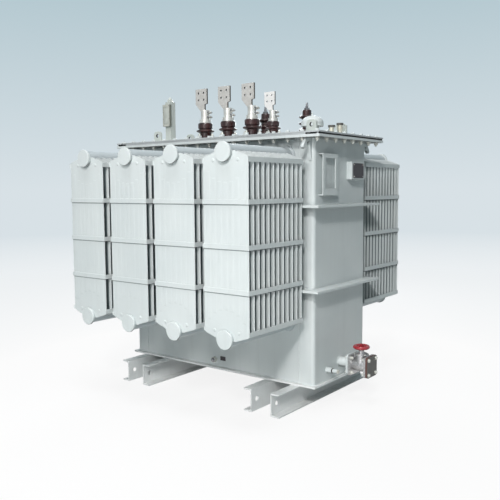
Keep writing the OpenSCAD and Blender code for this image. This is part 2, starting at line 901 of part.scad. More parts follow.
// Cover fittings
module pressure_relief_valve() {
    neck = relief_r * 0.6;
    dome_z = relief_skirt_z + relief_skirt_h;
    pin_d = 10;
    color(PAINT) placed() translate([relief_x, 0, cover_top]) {
        rotate_extrude() polygon(concat(
            [[0, 0], [relief_r, 0], [relief_r, seat_t], [neck, seat_t], [neck, relief_skirt_z]],
            [[relief_r, relief_skirt_z]],
            oval(0, dome_z, relief_r, relief_h - dome_z, 0, 75, 6),
            [[0, relief_h]]
        ));
        cylinder(d = pin_d, h = relief_h + relief_pin_h);
    }
}

module oil_gauge_post() {
    foot = post_side * 1.5;
    cap_r = post_side * 0.42;
    color(PAINT) placed() translate([post_x, -post_y, cover_top]) {
        translate([-foot / 2, -foot / 2, 0]) cube([foot, foot, seat_t / 2]);
        translate([-post_side / 2, -post_side / 2, 0]) cube([post_side, post_side, post_h]);
        translate([0, 0, post_h]) cylinder(r = cap_r, h = post_cap_h / 2, $fn = 6);
        translate([0, 0, post_h + post_cap_h / 2])
            cylinder(r1 = cap_r * 0.8, r2 = cap_r * 0.2, h = post_cap_h / 2);
    }
}

module oil_gauge_window() {
    top = post_h - window_drop;
    y = -post_y - post_side / 2;
    frame = window_w / 8;
    color(CREAM) placed() translate([post_x, y, cover_top]) difference() {
        box(-window_w / 2, window_w / 2, -window_d, 0, top - window_h, top);
        box(frame - window_w / 2, window_w / 2 - frame, -window_d - overlap, frame / 2 - window_d,
            top - window_h + 2 * frame, top - 2 * frame);
    }
}

module pocket(h) {
    cap_h = pocket_d / 3;
    cylinder(d = pocket_cap_d, h = seat_t / 2, $fn = 6);
    cylinder(d = pocket_d, h = h - cap_h);
    translate([0, 0, h - cap_h]) cylinder(d = pocket_cap_d, h = cap_h);
}

module thermometer_pockets() {
    color(BRASS) placed() translate([pocket_x, pocket_first_y, cover_top]) {
        pocket(pocket_low_h);
        translate([0, pocket_pitch, 0]) pocket(pocket_high_h);
        translate([0, pocket_pitch + vent_pitch, 0]) cylinder(d = vent_d, h = vent_h);
    }
}

// End wall fittings
module gauge_bracket() {
    x = tank_l / 2;
    front = x + bracket_d;
    half = bracket_w / 2;
    sill = bracket_z + bracket_sill;
    color(PAINT) placed() translate([0, bracket_y, tank_z]) difference() {
        box(x, front, -half, half, bracket_z, bracket_z + bracket_h);
        box(x - overlap, front - bracket_t, -half - overlap, half + overlap,
            bracket_z + bracket_t, bracket_z + bracket_h - bracket_t);
        box(x, front + overlap, -bracket_window_w / 2, bracket_window_w / 2, sill, sill + bracket_window_h);
    }
}

module rating_plate_box() {
    color(PAINT) placed() translate([tank_l / 2, box_y - box_w / 2, tank_z + box_z])
        cube([box_d, box_w, box_h]);
}

module rating_plate() {
    w = box_w - 2 * plate_side_border;
    h = box_h - 2 * plate_border;
    color(DARK) placed() translate([tank_l / 2 + box_d, box_y, tank_z + box_z + box_h / 2])
        along_x() linear_extrude(plate_t) rounded_rect(w, h, plate_border);
}

// Drain pipe and valve
module square_flange() {
    linear_extrude(drain_flange_t) rounded_rect(drain_flange, drain_flange, drain_flange_r);
}

module at_drain(x) {
    translate([x, drain_y, valve_z]) along_x() children();
}

module drain_pipe() {
    color(PAINT) placed() {
        at_drain(tank_l / 2) cylinder(d = drain_pipe_d, h = drain_pipe_l + overlap);
        at_drain(drain_flange_x) square_flange();
    }
}

module valve_barrel() {
    half = valve_l / 2 - overlap;
    bulge = oval(0, half, valve_r - valve_end_r, half, -90, 90, 8);
    translate([0, 0, overlap]) rotate_extrude()
        polygon(concat([[0, 0]], [for (p = bulge) [valve_end_r + p[0], p[1]]], [[0, 2 * half]]));
}

module drain_valve_body() {
    bonnet_top = bonnet_z + bonnet_t;
    color(VALVE_METAL) placed() difference() {
        union() {
            at_drain(valve_x) square_flange();
            at_drain(blank_x - drain_flange_t) square_flange();
            at_drain(valve_x) valve_barrel();
            translate([valve_mid_x, drain_y, valve_z]) {
                cylinder(r1 = neck_foot_r, r2 = neck_r, h = bonnet_z + overlap);
                translate([0, 0, bonnet_z]) cylinder(r = bonnet_r, h = bonnet_t / 2);
                translate([0, 0, bonnet_z]) cylinder(r = bonnet_r - bonnet_step, h = bonnet_t);
                translate([0, 0, bonnet_z]) cylinder(r = gland_r, h = bonnet_t + gland_h);
            }
        }
        translate([valve_mid_x, drain_y, valve_z + bonnet_top + gland_h - stem_engagement])
            cylinder(d = stem_d + 2 * stem_clearance, h = stem_engagement + overlap);
    }
}

module drain_blank_flange() {
    color(DARK) placed() at_drain(blank_x) square_flange();
}

// Handwheel with its spokes, hub and stem
module drain_handwheel() {
    ring_r = (wheel_d - wheel_rim_d) / 2;
    gland_top = bonnet_z + bonnet_t + gland_h;
    stem_foot = gland_top - stem_engagement + seat_gap;
    color(RED) placed() translate([valve_mid_x, drain_y, valve_z]) {
        translate([0, 0, wheel_z]) rotate_extrude() translate([ring_r, 0]) circle(d = wheel_rim_d);
        translate([0, 0, wheel_z - wheel_hub_h / 2]) cylinder(r = wheel_hub_r, h = wheel_hub_h);
        for (i = [1:spoke_count]) {
            translate([0, 0, wheel_z]) rotate([0, 90, i * 360 / spoke_count])
                cylinder(d = spoke_d, h = ring_r);
        }
        translate([0, 0, stem_foot]) cylinder(d = stem_d, h = wheel_z - stem_foot);
    }
}

// Small wall fittings
module sampling_plug() {
    color(PAINT) placed() translate([tank_l / 2, plug_y, tank_z + plug_z]) along_x() {
        cylinder(d = plug_boss_d, h = plug_boss_l);
        cylinder(d = plug_d, h = plug_l);
    }
}

module earth_terminal() {
    color(TINNED) placed() translate([earth_x, -tank_w / 2, tank_z + earth_z]) along_y() difference() {
        cylinder(d = earth_d, h = earth_l);
        translate([0, 0, earth_l / 4]) cylinder(d = earth_hole_d, h = earth_l);
    }
}

left_outer_skid();
left_inner_skid();
right_inner_skid();
right_outer_skid();
bottom_plate();
front_wall();
back_wall();
left_end_wall();
right_end_wall();
tank_flange();
cover_gasket();
cover_plate();
side_stiffeners();
end_stiffeners();
radiator(1, -1);  // front_radiator_1
radiator(2, -1);  // front_radiator_2
radiator(3, -1);  // front_radiator_3
radiator(4, -1);  // front_radiator_4
radiator(1, 1);  // back_radiator_1
radiator(2, 1);  // back_radiator_2
radiator(3, 1);  // back_radiator_3
radiator(4, 1);  // back_radiator_4
front_headers();
back_headers();
front_tie_bars();
back_tie_bars();
tank_lifting_hooks();
cover_lifting_lugs();
bushing_flanges();
lv_bushings();
lv_terminals();
hv_bushings();
hv_terminals();
pressure_relief_valve();
oil_gauge_post();
oil_gauge_window();
thermometer_pockets();
gauge_bracket();
rating_plate_box();
rating_plate();
drain_pipe();
drain_valve_body();
drain_blank_flange();
drain_handwheel();
sampling_plug();
earth_terminal();
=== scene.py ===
import math
from contextlib import contextmanager

import bmesh
import bpy
from mathutils import Matrix, Vector


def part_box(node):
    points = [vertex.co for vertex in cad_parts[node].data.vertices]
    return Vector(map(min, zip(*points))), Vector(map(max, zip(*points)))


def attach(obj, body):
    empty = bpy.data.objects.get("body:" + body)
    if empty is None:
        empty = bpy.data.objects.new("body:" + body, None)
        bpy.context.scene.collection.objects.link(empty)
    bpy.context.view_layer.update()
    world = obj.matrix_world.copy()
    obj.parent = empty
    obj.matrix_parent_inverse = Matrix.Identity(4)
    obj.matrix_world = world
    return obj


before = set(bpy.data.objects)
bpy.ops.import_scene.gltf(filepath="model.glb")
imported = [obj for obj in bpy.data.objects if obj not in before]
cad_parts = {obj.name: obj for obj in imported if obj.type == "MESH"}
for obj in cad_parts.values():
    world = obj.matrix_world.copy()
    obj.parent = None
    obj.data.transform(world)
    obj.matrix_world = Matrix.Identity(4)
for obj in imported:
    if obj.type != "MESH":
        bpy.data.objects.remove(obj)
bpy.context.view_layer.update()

# The cover gives the tank's middle and the heights of the rim
COVER_LOW, COVER_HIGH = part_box("cover_plate")
TANK_X = (COVER_LOW.x + COVER_HIGH.x) / 2
COVER_TOP = COVER_HIGH.z
RIM_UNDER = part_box("tank_flange")[0].z

# Camera: place in metres, angles in degrees
CAMERA_PLACE = (2.71908, -3.55541, 1.32873)
CAMERA_YAW = 37.66
CAMERA_PITCH = -5.39
CAMERA_ROLL = -0.37
CAMERA_LENS = 47.32

# Colours of the finishes, in linear light. Shades are a dark one and a light one
ENAMEL_SHADES = (0.63, 0.68, 0.685, 1), (0.70, 0.745, 0.745, 1)
ENAMEL_GRIME = (0.40, 0.42, 0.40, 1)
# Painted shade on faces that look down
UNDERSIDE_SHADE = (0.11, 0.115, 0.11, 1)
ENAMEL_EDGE = (0.80, 0.83, 0.82, 1)
# Lighter copy of the enamel for the base plate and skids: painted light
BASE_LIT_SHADES = (0.83, 0.86, 0.86, 1), (0.90, 0.92, 0.92, 1)
# Painted shade deep in the radiators' gaps, and painted shadow below their tie bars
GAP_SHADE = (0.17, 0.205, 0.215, 1)
# Header pipes painted darker: painted shade
HEADER_SHADE = (0.51, 0.56, 0.58, 1)
# Painted shade inside the bores of the lifting lugs
BORE_SHADE = (0.030, 0.028, 0.026, 1)
DUST = (0.62, 0.61, 0.57, 1)
FITTING_SHADES = (0.50, 0.54, 0.51, 1), (0.58, 0.62, 0.59, 1)
GLAZE_SHADES = (0.016, 0.004, 0.004, 1), (0.046, 0.011, 0.010, 1)
TIN_SHADES = (0.54, 0.52, 0.48, 1), (0.80, 0.785, 0.75, 1)
PALM_SHADES = (0.50, 0.485, 0.46, 1), (0.60, 0.585, 0.56, 1)
NEUTRAL_PALM = (0.80, 0.785, 0.77, 1)
# Painted shade on the palms' edges and hole walls
PALM_HOLE_SHADE = (0.10, 0.09, 0.08, 1)
NICKEL_SHADES = (0.54, 0.51, 0.42, 1), (0.70, 0.67, 0.57, 1)
VALVE_SHADES = (0.37, 0.365, 0.36, 1), (0.57, 0.57, 0.58, 1)
# Painted shade on the valve's faces that look down
VALVE_UNDER_SHADE = (0.12, 0.115, 0.11, 1)
IRON_SHADES = (0.07, 0.066, 0.06, 1), (0.135, 0.13, 0.12, 1)
PLATE_SHADES = (0.021, 0.016, 0.020, 1), (0.036, 0.028, 0.034, 1)
RED_SHADES = (0.27, 0.013, 0.020, 1), (0.46, 0.030, 0.042, 1)
CREAM_SHADES = (0.43, 0.44, 0.39, 1), (0.55, 0.56, 0.51, 1)
# Painted shade on the sides of the oil gauge's frame
FRAME_SIDE_SHADE = (0.17, 0.18, 0.15, 1)
RUBBER_SHADES = (0.008, 0.008, 0.008, 1), (0.016, 0.016, 0.015, 1)
ZINC_SHADES = (0.55, 0.55, 0.50, 1), (0.78, 0.78, 0.73, 1)
STEEL_SHADES = (0.16, 0.16, 0.17, 1), (0.34, 0.34, 0.35, 1)
PANE_SHADES = (0.42, 0.44, 0.40, 1), (0.52, 0.54, 0.50, 1)
RIM_EDGE_GREY = (0.47, 0.50, 0.51, 1)
PRIMER = (0.10, 0.045, 0.036, 1)

# Finishes: radius that edges look rounded by, length of a sharp change, share by which paint fills the flutes
ENAMEL_ROUND = 0.0025
BASE_ROUND = 0.006
METAL_ROUND = 0.0012
SHARP_CHANGE = 0.0004
FLUTE_FILL = 0.52

# Sky and floor: the floor is white round the object and takes the sky's colour further out
SKY_LOW = (0.686, 0.753, 0.791, 1)
SKY_HIGH = (0.456, 0.578, 0.631, 1)
SKY_GLOW = 0.10
SKY_TINT = (0.74, 0.95, 1.0, 1)
SKY_RISE = 0.27
FLOOR_NEAR = (0.98, 0.98, 0.98, 1)
FLOOR_BOUNCE = (0.38, 0.42, 0.42, 1)
FLOOR_SHARE = 0.88
FLOOR_R = 60
FLOOR_WHITE_R = 2.0
FLOOR_SKY_R = 16.0
FLOOR_FADE = 0.7
FLOOR_GLOW_R = (1.0, 7.0)

# Lamps: name, place, aim, size, power in watts and colour
LAMPS = [
    ("key_softbox", (4.40, -7.50, 6.50), (0.2, -0.3, 1.0), (1.1, 1.1), 450, (1.0, 0.985, 0.975)),
    ("front_softbox", (1.3, -5.3, 3.10), (0.1, -0.6, 0.9), (1.4, 0.7), 76, (1.0, 0.975, 0.965)),
    ("low_softbox", (1.6, -3.5, 0.36), (0.3, -0.45, 0.20), (1.2, 0.3), 22, (1.0, 0.985, 0.975)),
    ("top_softbox", (0.8, -2.2, 9.0), (0.1, -0.1, 0.8), (3.0, 3.0), 345, (0.98, 0.99, 1.0)),
    ("back_softbox", (-2.6, 4.4, 2.8), (-0.2, 0.3, 0.9), (1.8, 1.8), 150, (0.97, 0.99, 1.0)),
]

# Fasteners: radius and height of the hexagon, radius of the washer, radius and length of a bolt's end
RIM_HEAD = (0.0125, 0.009, 0.016)
RIM_NUT = (0.0125, 0.012, 0.016, 0.007, 0.008)
BUSHING_NUT = (0.0085, 0.008, 0.0098, 0.005, 0.006)
CLAMP_HEAD = (0.0065, 0.005, 0.0075)
CLAMP_NUT = (0.0065, 0.006, 0.0075, 0.004, 0.005)
STUD_NUT = (0.0115, 0.008, 0.0130)
RELIEF_NUT = (0.009, 0.008, 0.0105, 0.005, 0.005)
DRAIN_HEAD = (0.0105, 0.0075, 0.0122)
DRAIN_NUT = (0.0105, 0.010, 0.0122, 0.006, 0.006)
BONNET_SCREW = (0.0042, 0.004, 0.0048)
WHEEL_NUT = (0.0105, 0.007, 0.0125, 0.0065, 0.002)
PLUG_HEAD = (0.0115, 0.007, 0.0128)
EARTH_HEAD = (0.0115, 0.009, 0.0155)

# Low round heads: radius and height
PLATE_RIVET = (0.0035, 0.002)
GAUGE_SCREW = (0.0028, 0.0016)
DIMPLE = (0.010, 0.0018)

# Rounded edges of the small pieces
SHANK_SOFT = 0.0005
WASHER_SOFT = 0.0006
PLATE_SOFT = 0.0004
PANE_SOFT = 0.0008
CAP_SOFT = 0.0003
SEAL_SOFT = 0.001

# Weld beads: radius of the bead and pitch of its ripples
WELD_R = 0.005
SEAM_WELD_R = 0.004
WELD_PITCH = 0.012
LUG_WELD_PITCH = 0.010
RING_WELD_PITCH = 0.009

# Rim bolts: distance from the rim's edge, lines, count on a long and a short side, shanks in the slots
RIM_INSET = 0.034
RIM_X = (COVER_LOW.x + RIM_INSET, COVER_HIGH.x - RIM_INSET)
RIM_Y = (COVER_LOW.y + RIM_INSET, COVER_HIGH.y - RIM_INSET)
RIM_BOLTS_LONG = 17
RIM_BOLTS_SHORT = 8
SHANK_R = 0.007
SHANK_LAP = 0.001

# Bushings: places from the tank's middle, low-voltage ones with their size, and radius of the feet
LV_PLACES = [(-0.225, 1.0), (-0.024, 1.0), (0.177, 1.0), (0.343, 0.8)]
LV_Y = -0.140
LV_FOOT = 0.050
HV_PLACES = [-0.307, 0.035, 0.377]
HV_Y = 0.200
HV_FOOT = 0.044

# What holds a bushing down: its seat, the top of the claws above the cover, the seal round the seat
SEAT_W = 0.022
SEAT_T = 0.016
CLAW_TOP = 0.034
SEAL_RIM = 0.0015
SEAL_T = 0.0035
SEAL_RISE = 0.001

# Clamps of the low-voltage terminals: top above the cover, the neutral one, the bolts through their ears
CLAMP_TOP = 0.208
NEUTRAL_X = 0.26
NEUTRAL_SIZE = 0.8
PALM_FROM = 0.001
EAR_X = 0.038
EAR_Y = 0.0145
EAR_Z = [0.1615, 0.1925]

# Nuts of the high-voltage studs above the cover, and circle of the relief valve's bolts
HV_NUT_Z = 0.214
RELIEF_BOLT_R = 0.057

# The cover's lifting lugs: width, and their holes from the tank's middle and the cover
LUG_W = 0.070
LUG_HOLE_X = 0.651
LUG_HOLE_Z = 0.058
LUG_HOLE_R = 0.0136

# Drain valve: weld round the pipe, flange thickness, bolts from the axis, bonnet and hub above the axis
DRAIN_WELD_R = 0.0335
FLANGE_T = 0.013
FLANGE_BOLT = 0.045
BONNET_Z = 0.068
BONNET_BOLT_R = 0.041
HUB_Z = 0.122

# Sampling plug: weld round it, length of its boss, and the washer there
PLUG_WELD_R = 0.0185
PLUG_STEP = 0.036
PLUG_WASHER_R = 0.0155
PLUG_WASHER_LAP = 0.001
PLUG_WASHER_T = 0.005
PLUG_WASHER_EDGE = 0.0015

# The rating plate's rivets from its edges, and the small plate by the earth terminal
RIVET_INSET = 0.009
EARTH_PLATE_X = 0.053
EARTH_PLATE_Z = 0.212
EARTH_PLATE_HALF = (0.022, 0.014)
EARTH_PLATE_T = 0.002
EARTH_PLATE_RIM = (0.002, -0.0006)

# The oil gauge's pane: play round it, front and back from its floor, raised middle
PANE_PLAY = 0.0006
PANE_FRONT = 0.0025
PANE_BACK = 0.0005
PANE_EDGE = 0.006
PANE_RISE = 0.0012

# Across the tank: where the rim's packing is painted over, and where the vent beside the pockets starts
PAINTED_Y = 0.3915
VENT_FROM_Y = 0.112

# Thermometer pockets: place across the tank and height. Caps: radius, depth, rim, grip and sunk top
POCKET_TOPS = [(-0.025, 0.059), (0.077, 0.079)]
POCKET_CAP_R = 0.0216
POCKET_CAP_T = 0.0125
POCKET_CAP_RISE = 0.001
POCKET_CAP_RIM = 0.004
POCKET_CAP_GRIP = (0.0008, -0.0003)
POCKET_CAP_SUNK = (0.0006, -0.0004)

# Tank, in metres from its middle and the floor
TANK_HALF_L = 0.755
TANK_HALF_W = 0.309
SEAM_X = 0.650
CORNER_R = 0.020
BASE_TOP = 0.152
STIFFENER_EDGES = [0.720, 0.734, 1.213, 1.227]

# Radiators, in metres from the tank's middle and the floor
RADIATOR_PITCH = 0.378
RADIATOR_X = [-0.567, -0.189, 0.189, 0.567]
PANEL_HALF_W = 0.155
INNER_SHEET = 0.875
OUTER_SHEET = 0.8865
HEADER_Z = [0.519, 1.519]
DIMPLE_X = 0.085
DIMPLE_DROP = 0.042
TIES_MID_Z = 1.019
TIES_REACH = 0.465
TIE_PITCH = 0.238
TIE_HALF_H = 0.013
CROSSED_REACH = 0.30

# Painted shade in the radiators' gaps: depths where it starts and is full, more at the back; painted shadow
# lines below the ties
GAP_SHADE_FROM = 0.0205
GAP_SHADE_FULL = 0.0240
BACK_GAP_SHADE = 0.008
TIE_SHADOW = 0.006
TIE_SHADOW_SHARE = 0.75


# Modelling helpers

def alone(piece):
    """Makes a piece the only selected one, and active."""
    bpy.ops.object.select_all(action="DESELECT")
    piece.select_set(True)
    bpy.context.view_layer.objects.active = piece


def started(name):
    """Names the primitive that was just added."""
    piece = bpy.context.object
    piece.name = name
    piece.data.name = name
    return piece


def block(name, low, high):
    """A box between two corners, as a start."""
    low, high = Vector(low), Vector(high)
    bpy.ops.object.select_all(action="DESELECT")
    bpy.ops.mesh.primitive_cube_add(size=1, location=(low + high) / 2, scale=high - low)
    bpy.ops.object.transform_apply(location=True, rotation=True, scale=True)
    return started(name)


def rod(name, radius, start, end, sides=16):
    """A straight round bar from one point to another, as a start."""
    start, end = Vector(start), Vector(end)
    along = end - start
    turn = along.to_track_quat("Z", "Y").to_euler()
    bpy.ops.object.select_all(action="DESELECT")
    bpy.ops.mesh.primitive_cylinder_add(
        vertices=sides, radius=radius, depth=along.length, location=(start + end) / 2, rotation=turn)
    bpy.ops.object.transform_apply(location=True, rotation=True, scale=True)
    return started(name)


@contextmanager
def shaping(piece):
    """Edit mode on one piece."""
    alone(piece)
    bpy.ops.object.mode_set(mode="EDIT")
    bpy.ops.mesh.select_mode(type="FACE")
    bpy.ops.mesh.select_all(action="DESELECT")
    yield piece
    bpy.ops.object.mode_set(mode="OBJECT")


def pick_faces(piece, test):
    """Selects the faces whose middle and normal pass a test."""
    bpy.ops.mesh.select_mode(type="FACE")
    bpy.ops.mesh.select_all(action="DESELECT")
    mesh = bmesh.from_edit_mesh(piece.data)
    for face in mesh.faces:
        face.select_set(test(face.calc_center_median(), face.normal))
    bmesh.update_edit_mesh(piece.data)


def softened(piece, width, segments=2, angle=40):
    """Rounds the sharp edges of a piece and smooths its round faces."""
    alone(piece)
    bevel = piece.modifiers.new("softened", "BEVEL")
    bevel.width = width
    bevel.segments = segments
    bevel.limit_method = "ANGLE"
    bevel.angle_limit = math.radians(angle)
    bpy.ops.object.modifier_apply(modifier=bevel.name)
    bpy.ops.object.shade_smooth_by_angle(angle=math.radians(angle))
    return piece


def joined(name, pieces):
    """Joins pieces as one mesh."""
    alone(pieces[0])
    for piece in pieces:
        piece.select_set(True)
    bpy.ops.object.join()
    return started(name)


def copied(name, piece, places):
    """Copies of one piece at several places, joined as one mesh. The piece itself goes."""
    twins = []
    for place in places:
        twin = piece.copy()
        twin.data = piece.data.copy()
        twin.data.transform(place)
        bpy.context.scene.collection.objects.link(twin)
        twins.append(twin)
    bpy.data.objects.remove(piece)
    return joined(name, twins)


def finished(piece, finish, body="tank"):
    """Gives a piece its finish and the body that it rides on."""
    piece.data.materials.clear()
    piece.data.materials.append(finish)
    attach(piece, body)


def middle_of(node_name):
    """The middle of a construction node's box."""
    low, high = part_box(node_name)
    return tuple((a + b) / 2 for a, b in zip(low, high))


# Shader helpers

def add_node(tree, kind, settings=None, inputs=None):
    """A node with its settings, and its inputs set or linked."""
    node = tree.nodes.new(kind)
    for key, value in (settings or {}).items():
        setattr(node, key, value)
    for key, value in (inputs or {}).items():
        if isinstance(value, bpy.types.NodeSocket):
            tree.links.new(value, node.inputs[key])
        else:
            node.inputs[key].default_value = value
    return node


def math_node(tree, operation, a, b=0.0, clamp=False):
    """The result of a sum on two values."""
    settings = {"operation": operation, "use_clamp": clamp}
    return add_node(tree, "ShaderNodeMath", settings, {0: a, 1: b}).outputs[0]


def blend(tree, factor, a, b):
    """A colour between two, by a factor."""
    settings = {"data_type": "RGBA"}
    return add_node(tree, "ShaderNodeMix", settings, {0: factor, 6: a, 7: b}).outputs[2]


def spread(tree, value, low, high, to_low=0.0, to_high=1.0):
    """Stretches a value's range."""
    inputs = {0: value, 1: low, 2: high, 3: to_low, 4: to_high}
    return add_node(tree, "ShaderNodeMapRange", {"clamp": True}, inputs).outputs[0]


def object_noise(tree, scale, detail=3.0, stretch=(1, 1, 1)):
    """Noise on the object's own coordinates, stretched along its axes."""
    place = add_node(tree, "ShaderNodeTexCoord").outputs["Object"]
    mapped = add_node(tree, "ShaderNodeMapping", None, {"Vector": place, "Scale": stretch}).outputs[0]
    inputs = {"Vector": mapped, "Scale": scale, "Detail": detail}
    return add_node(tree, "ShaderNodeTexNoise", None, inputs).outputs[0]


def place_along(tree, axis):
    """The object's own coordinate along one axis."""
    place = add_node(tree, "ShaderNodeTexCoord").outputs["Object"]
    return add_node(tree, "ShaderNodeSeparateXYZ", None, {0: place}).outputs[axis]


def looking(tree, axis):
    """How far a face looks along one axis."""
    normal = add_node(tree, "ShaderNodeNewGeometry").outputs["Normal"]
    return add_node(tree, "ShaderNodeSeparateXYZ", None, {0: normal}).outputs[axis]


def facing(tree, axis):
    """How far a face looks along one axis, either way."""
    return math_node(tree, "ABSOLUTE", looking(tree, axis))


def past(tree, value, edge):
    """One where a value is over an edge, with a short change."""
    return spread(tree, value, edge - SHARP_CHANGE, edge + SHARP_CHANGE)


def new_group(name, inputs, outputs):
    """An empty shader group with named sockets."""
    group = bpy.data.node_groups.new(name, "ShaderNodeTree")
    for label, value in inputs.items():
        socket = group.interface.new_socket(name=label, in_out="INPUT", socket_type="NodeSocketFloat")
        socket.default_value = value
    for label, kind in outputs.items():
        group.interface.new_socket(name=label, in_out="OUTPUT", socket_type=kind)
    entry = group.nodes.new("NodeGroupInput")
    leave = group.nodes.new("NodeGroupOutput")
    return group, entry, leave


def use_group(tree, group, **inputs):
    """A shared group's node in a material, with its inputs set."""
    node = tree.nodes.new("ShaderNodeGroup")
    node.node_tree = group
    for key, value in inputs.items():
        node.inputs[key].default_value = value
    return node


def mask_of(tree, group, **inputs):
    """A shared group's mask in a material."""
    return use_group(tree, group, **inputs).outputs["Mask"]


def cloudy_group():
    """Slow changes of shade over a surface."""
    group, entry, leave = new_group("cloudy_shade", {"Scale": 3.0}, {"Mask": "NodeSocketFloat"})
    noise = object_noise(group, 1.0, 4.0)
    group.links.new(entry.outputs["Scale"], noise.node.inputs["Scale"])
    group.links.new(spread(group, noise, 0.3, 0.7), leave.inputs["Mask"])
    return group


def grain_group():
    """Fine height of a sprayed, cast or brushed surface."""
    group, entry, leave = new_group("surface_grain", {"Scale": 400.0}, {"Height": "NodeSocketFloat"})
    noise = object_noise(group, 1.0, 2.0)
    group.links.new(entry.outputs["Scale"], noise.node.inputs["Scale"])
    group.links.new(noise, leave.inputs["Height"])
    return group


def edge_group():
    """Worn edges, and a normal that rounds sharp edges."""
    outputs = {"Mask": "NodeSocketFloat", "Normal": "NodeSocketVector"}
    group, entry, leave = new_group("edge_wear", {"Radius": ENAMEL_ROUND}, outputs)
    bevel = add_node(group, "ShaderNodeBevel", {"samples": 4})
    group.links.new(entry.outputs["Radius"], bevel.inputs["Radius"])
    flat = add_node(group, "ShaderNodeNewGeometry").outputs["Normal"]
    both = {0: bevel.outputs[0], 1: flat}
    dot = add_node(group, "ShaderNodeVectorMath", {"operation": "DOT_PRODUCT"}, both).outputs["Value"]
    edge = spread(group, dot, 0.995, 0.90)
    broken = spread(group, object_noise(group, 60.0, 4.0), 0.42, 0.62)
    group.links.new(math_node(group, "MULTIPLY", edge, broken), leave.inputs["Mask"])
    group.links.new(bevel.outputs[0], leave.inputs["Normal"])
    return group


def settled_dust(tree):
    """Dust that settles on faces that look up."""
    lying = spread(tree, looking(tree, 2), 0.55, 0.95)
    patchy = spread(tree, object_noise(tree, 14.0, 5.0), 0.35, 0.75)
    return math_node(tree, "MULTIPLY", lying, patchy)


def run_streaks(tree):
    """Faint streaks that run down upright faces."""
    return spread(tree, object_noise(tree, 1.0, 4.0, (34, 34, 1.1)), 0.52, 0.78)


def painted_underside_shade(tree):
    """Faces that look down: a painted shade, stronger as a face turns further down."""
    return spread(tree, looking(tree, 2), -0.35, -0.80)


def amount_group(name, mask):
    """A mask times an amount."""
    group, entry, leave = new_group(name, {"Amount": 0.5}, {"Mask": "NodeSocketFloat"})
    shown = math_node(group, "MULTIPLY", mask(group), entry.outputs["Amount"])
    group.links.new(shown, leave.inputs["Mask"])
    return group


CLOUDY = cloudy_group()
GRAIN = grain_group()
EDGES = edge_group()
SETTLED = amount_group("settled_dust", settled_dust)
STREAKS = amount_group("run_streaks", run_streaks)
# Painted shade on faces that look down
UNDER_SHADE = amount_group("painted_underside_shade", painted_underside_shade)


def new_finish(name):
    """An empty material: its tree and its shader."""
    material = bpy.data.materials.new(name)
    material.use_nodes = True
    tree = material.node_tree
    return material, tree, tree.nodes["Principled BSDF"]


def feed(tree, shader, **values):
    """Links values to a shader's inputs. An underscore stands for a space in an input's name."""
    for label, value in values.items():
        tree.links.new(value, shader.inputs[label.replace("_", " ")])


def relief(tree, shader, grain_scale, strength, distance, edge_normal=None):
    """Fine bump on the shader's normal."""
    grain = use_group(tree, GRAIN, Scale=grain_scale)
    inputs = {"Height": grain.outputs["Height"], "Strength": strength, "Distance": distance}
    if edge_normal is not None:
        inputs["Normal"] = edge_normal
    bump = add_node(tree, "ShaderNodeBump", None, inputs)
    feed(tree, shader, Normal=bump.outputs[0])


def bright_mask(tree, cloudy, edges):
    """One where the shade is light or an edge is worn."""
    return math_node(tree, "ADD", cloudy, edges.outputs["Mask"], True)


def cloudy_roughness(tree, cloudy, dark, light):
    """A roughness between those of the dark and the light shade."""
    return spread(tree, cloudy, 0.0, 1.0, dark, light)


def painted_gap_shade(tree):
    """One deep in the gaps between a radiator's panels: painted shade where the gaps are deep.
    The radiators at the back get it from a shallower depth."""
    along = math_node(tree, "ADD", place_along(tree, 0), 2 * RADIATOR_PITCH - TANK_X)
    turn = math_node(tree, "FRACT", math_node(tree, "DIVIDE", along, RADIATOR_PITCH))
    off = math_node(tree, "ABSOLUTE", math_node(tree, "SUBTRACT", turn, 0.5))
    across = place_along(tree, 1)
    depth = math_node(tree, "SUBTRACT", PANEL_HALF_W / RADIATOR_PITCH, off)
    back = math_node(tree, "MULTIPLY", past(tree, across, 0.0), BACK_GAP_SHADE / RADIATOR_PITCH)
    depth = math_node(tree, "ADD", depth, back)
    deep = spread(tree, depth, GAP_SHADE_FROM / RADIATOR_PITCH, GAP_SHADE_FULL / RADIATOR_PITCH)
    inner = past(tree, math_node(tree, "ABSOLUTE", across), INNER_SHEET)
    height = math_node(tree, "ABSOLUTE", math_node(tree, "SUBTRACT", place_along(tree, 2), TIES_MID_Z))
    outside = math_node(tree, "MAXIMUM", inner, past(tree, height, TIES_REACH))
    return math_node(tree, "MULTIPLY", deep, math_node(tree, "SUBTRACT", 1.0, outside))


def painted_tie_shadows(tree):
    """One in a thin line below each tie bar that crosses the outer panels: a painted shadow."""
    rise = math_node(tree, "SUBTRACT", place_along(tree, 2), TIES_MID_Z - TIE_HALF_H)
    turns = math_node(tree, "DIVIDE", math_node(tree, "ADD", rise, 4 * TIE_PITCH), TIE_PITCH)
    line = past(tree, math_node(tree, "FRACT", turns), 1 - TIE_SHADOW / TIE_PITCH)
    beyond = past(tree, math_node(tree, "ABSOLUTE", rise), CROSSED_REACH)
    return math_node(tree, "MULTIPLY", line, spread(tree, beyond, 0.0, 1.0, TIE_SHADOW_SHARE, 0.0))


def radiator_painted_shade(tree):
    """One wherever shade is painted on a radiator: deep in the gaps and below the tie bars."""
    return math_node(tree, "MAXIMUM", painted_gap_shade(tree), painted_tie_shadows(tree))


def shaded_header_pipes(tree):
    """One on the header pipes, short of the caps outside the panels: there the pipes are painted darker, as
    shade.
    """
    out = math_node(tree, "ABSOLUTE", place_along(tree, 1))
    return math_node(tree, "SUBTRACT", 1.0, past(tree, out, OUTER_SHEET))


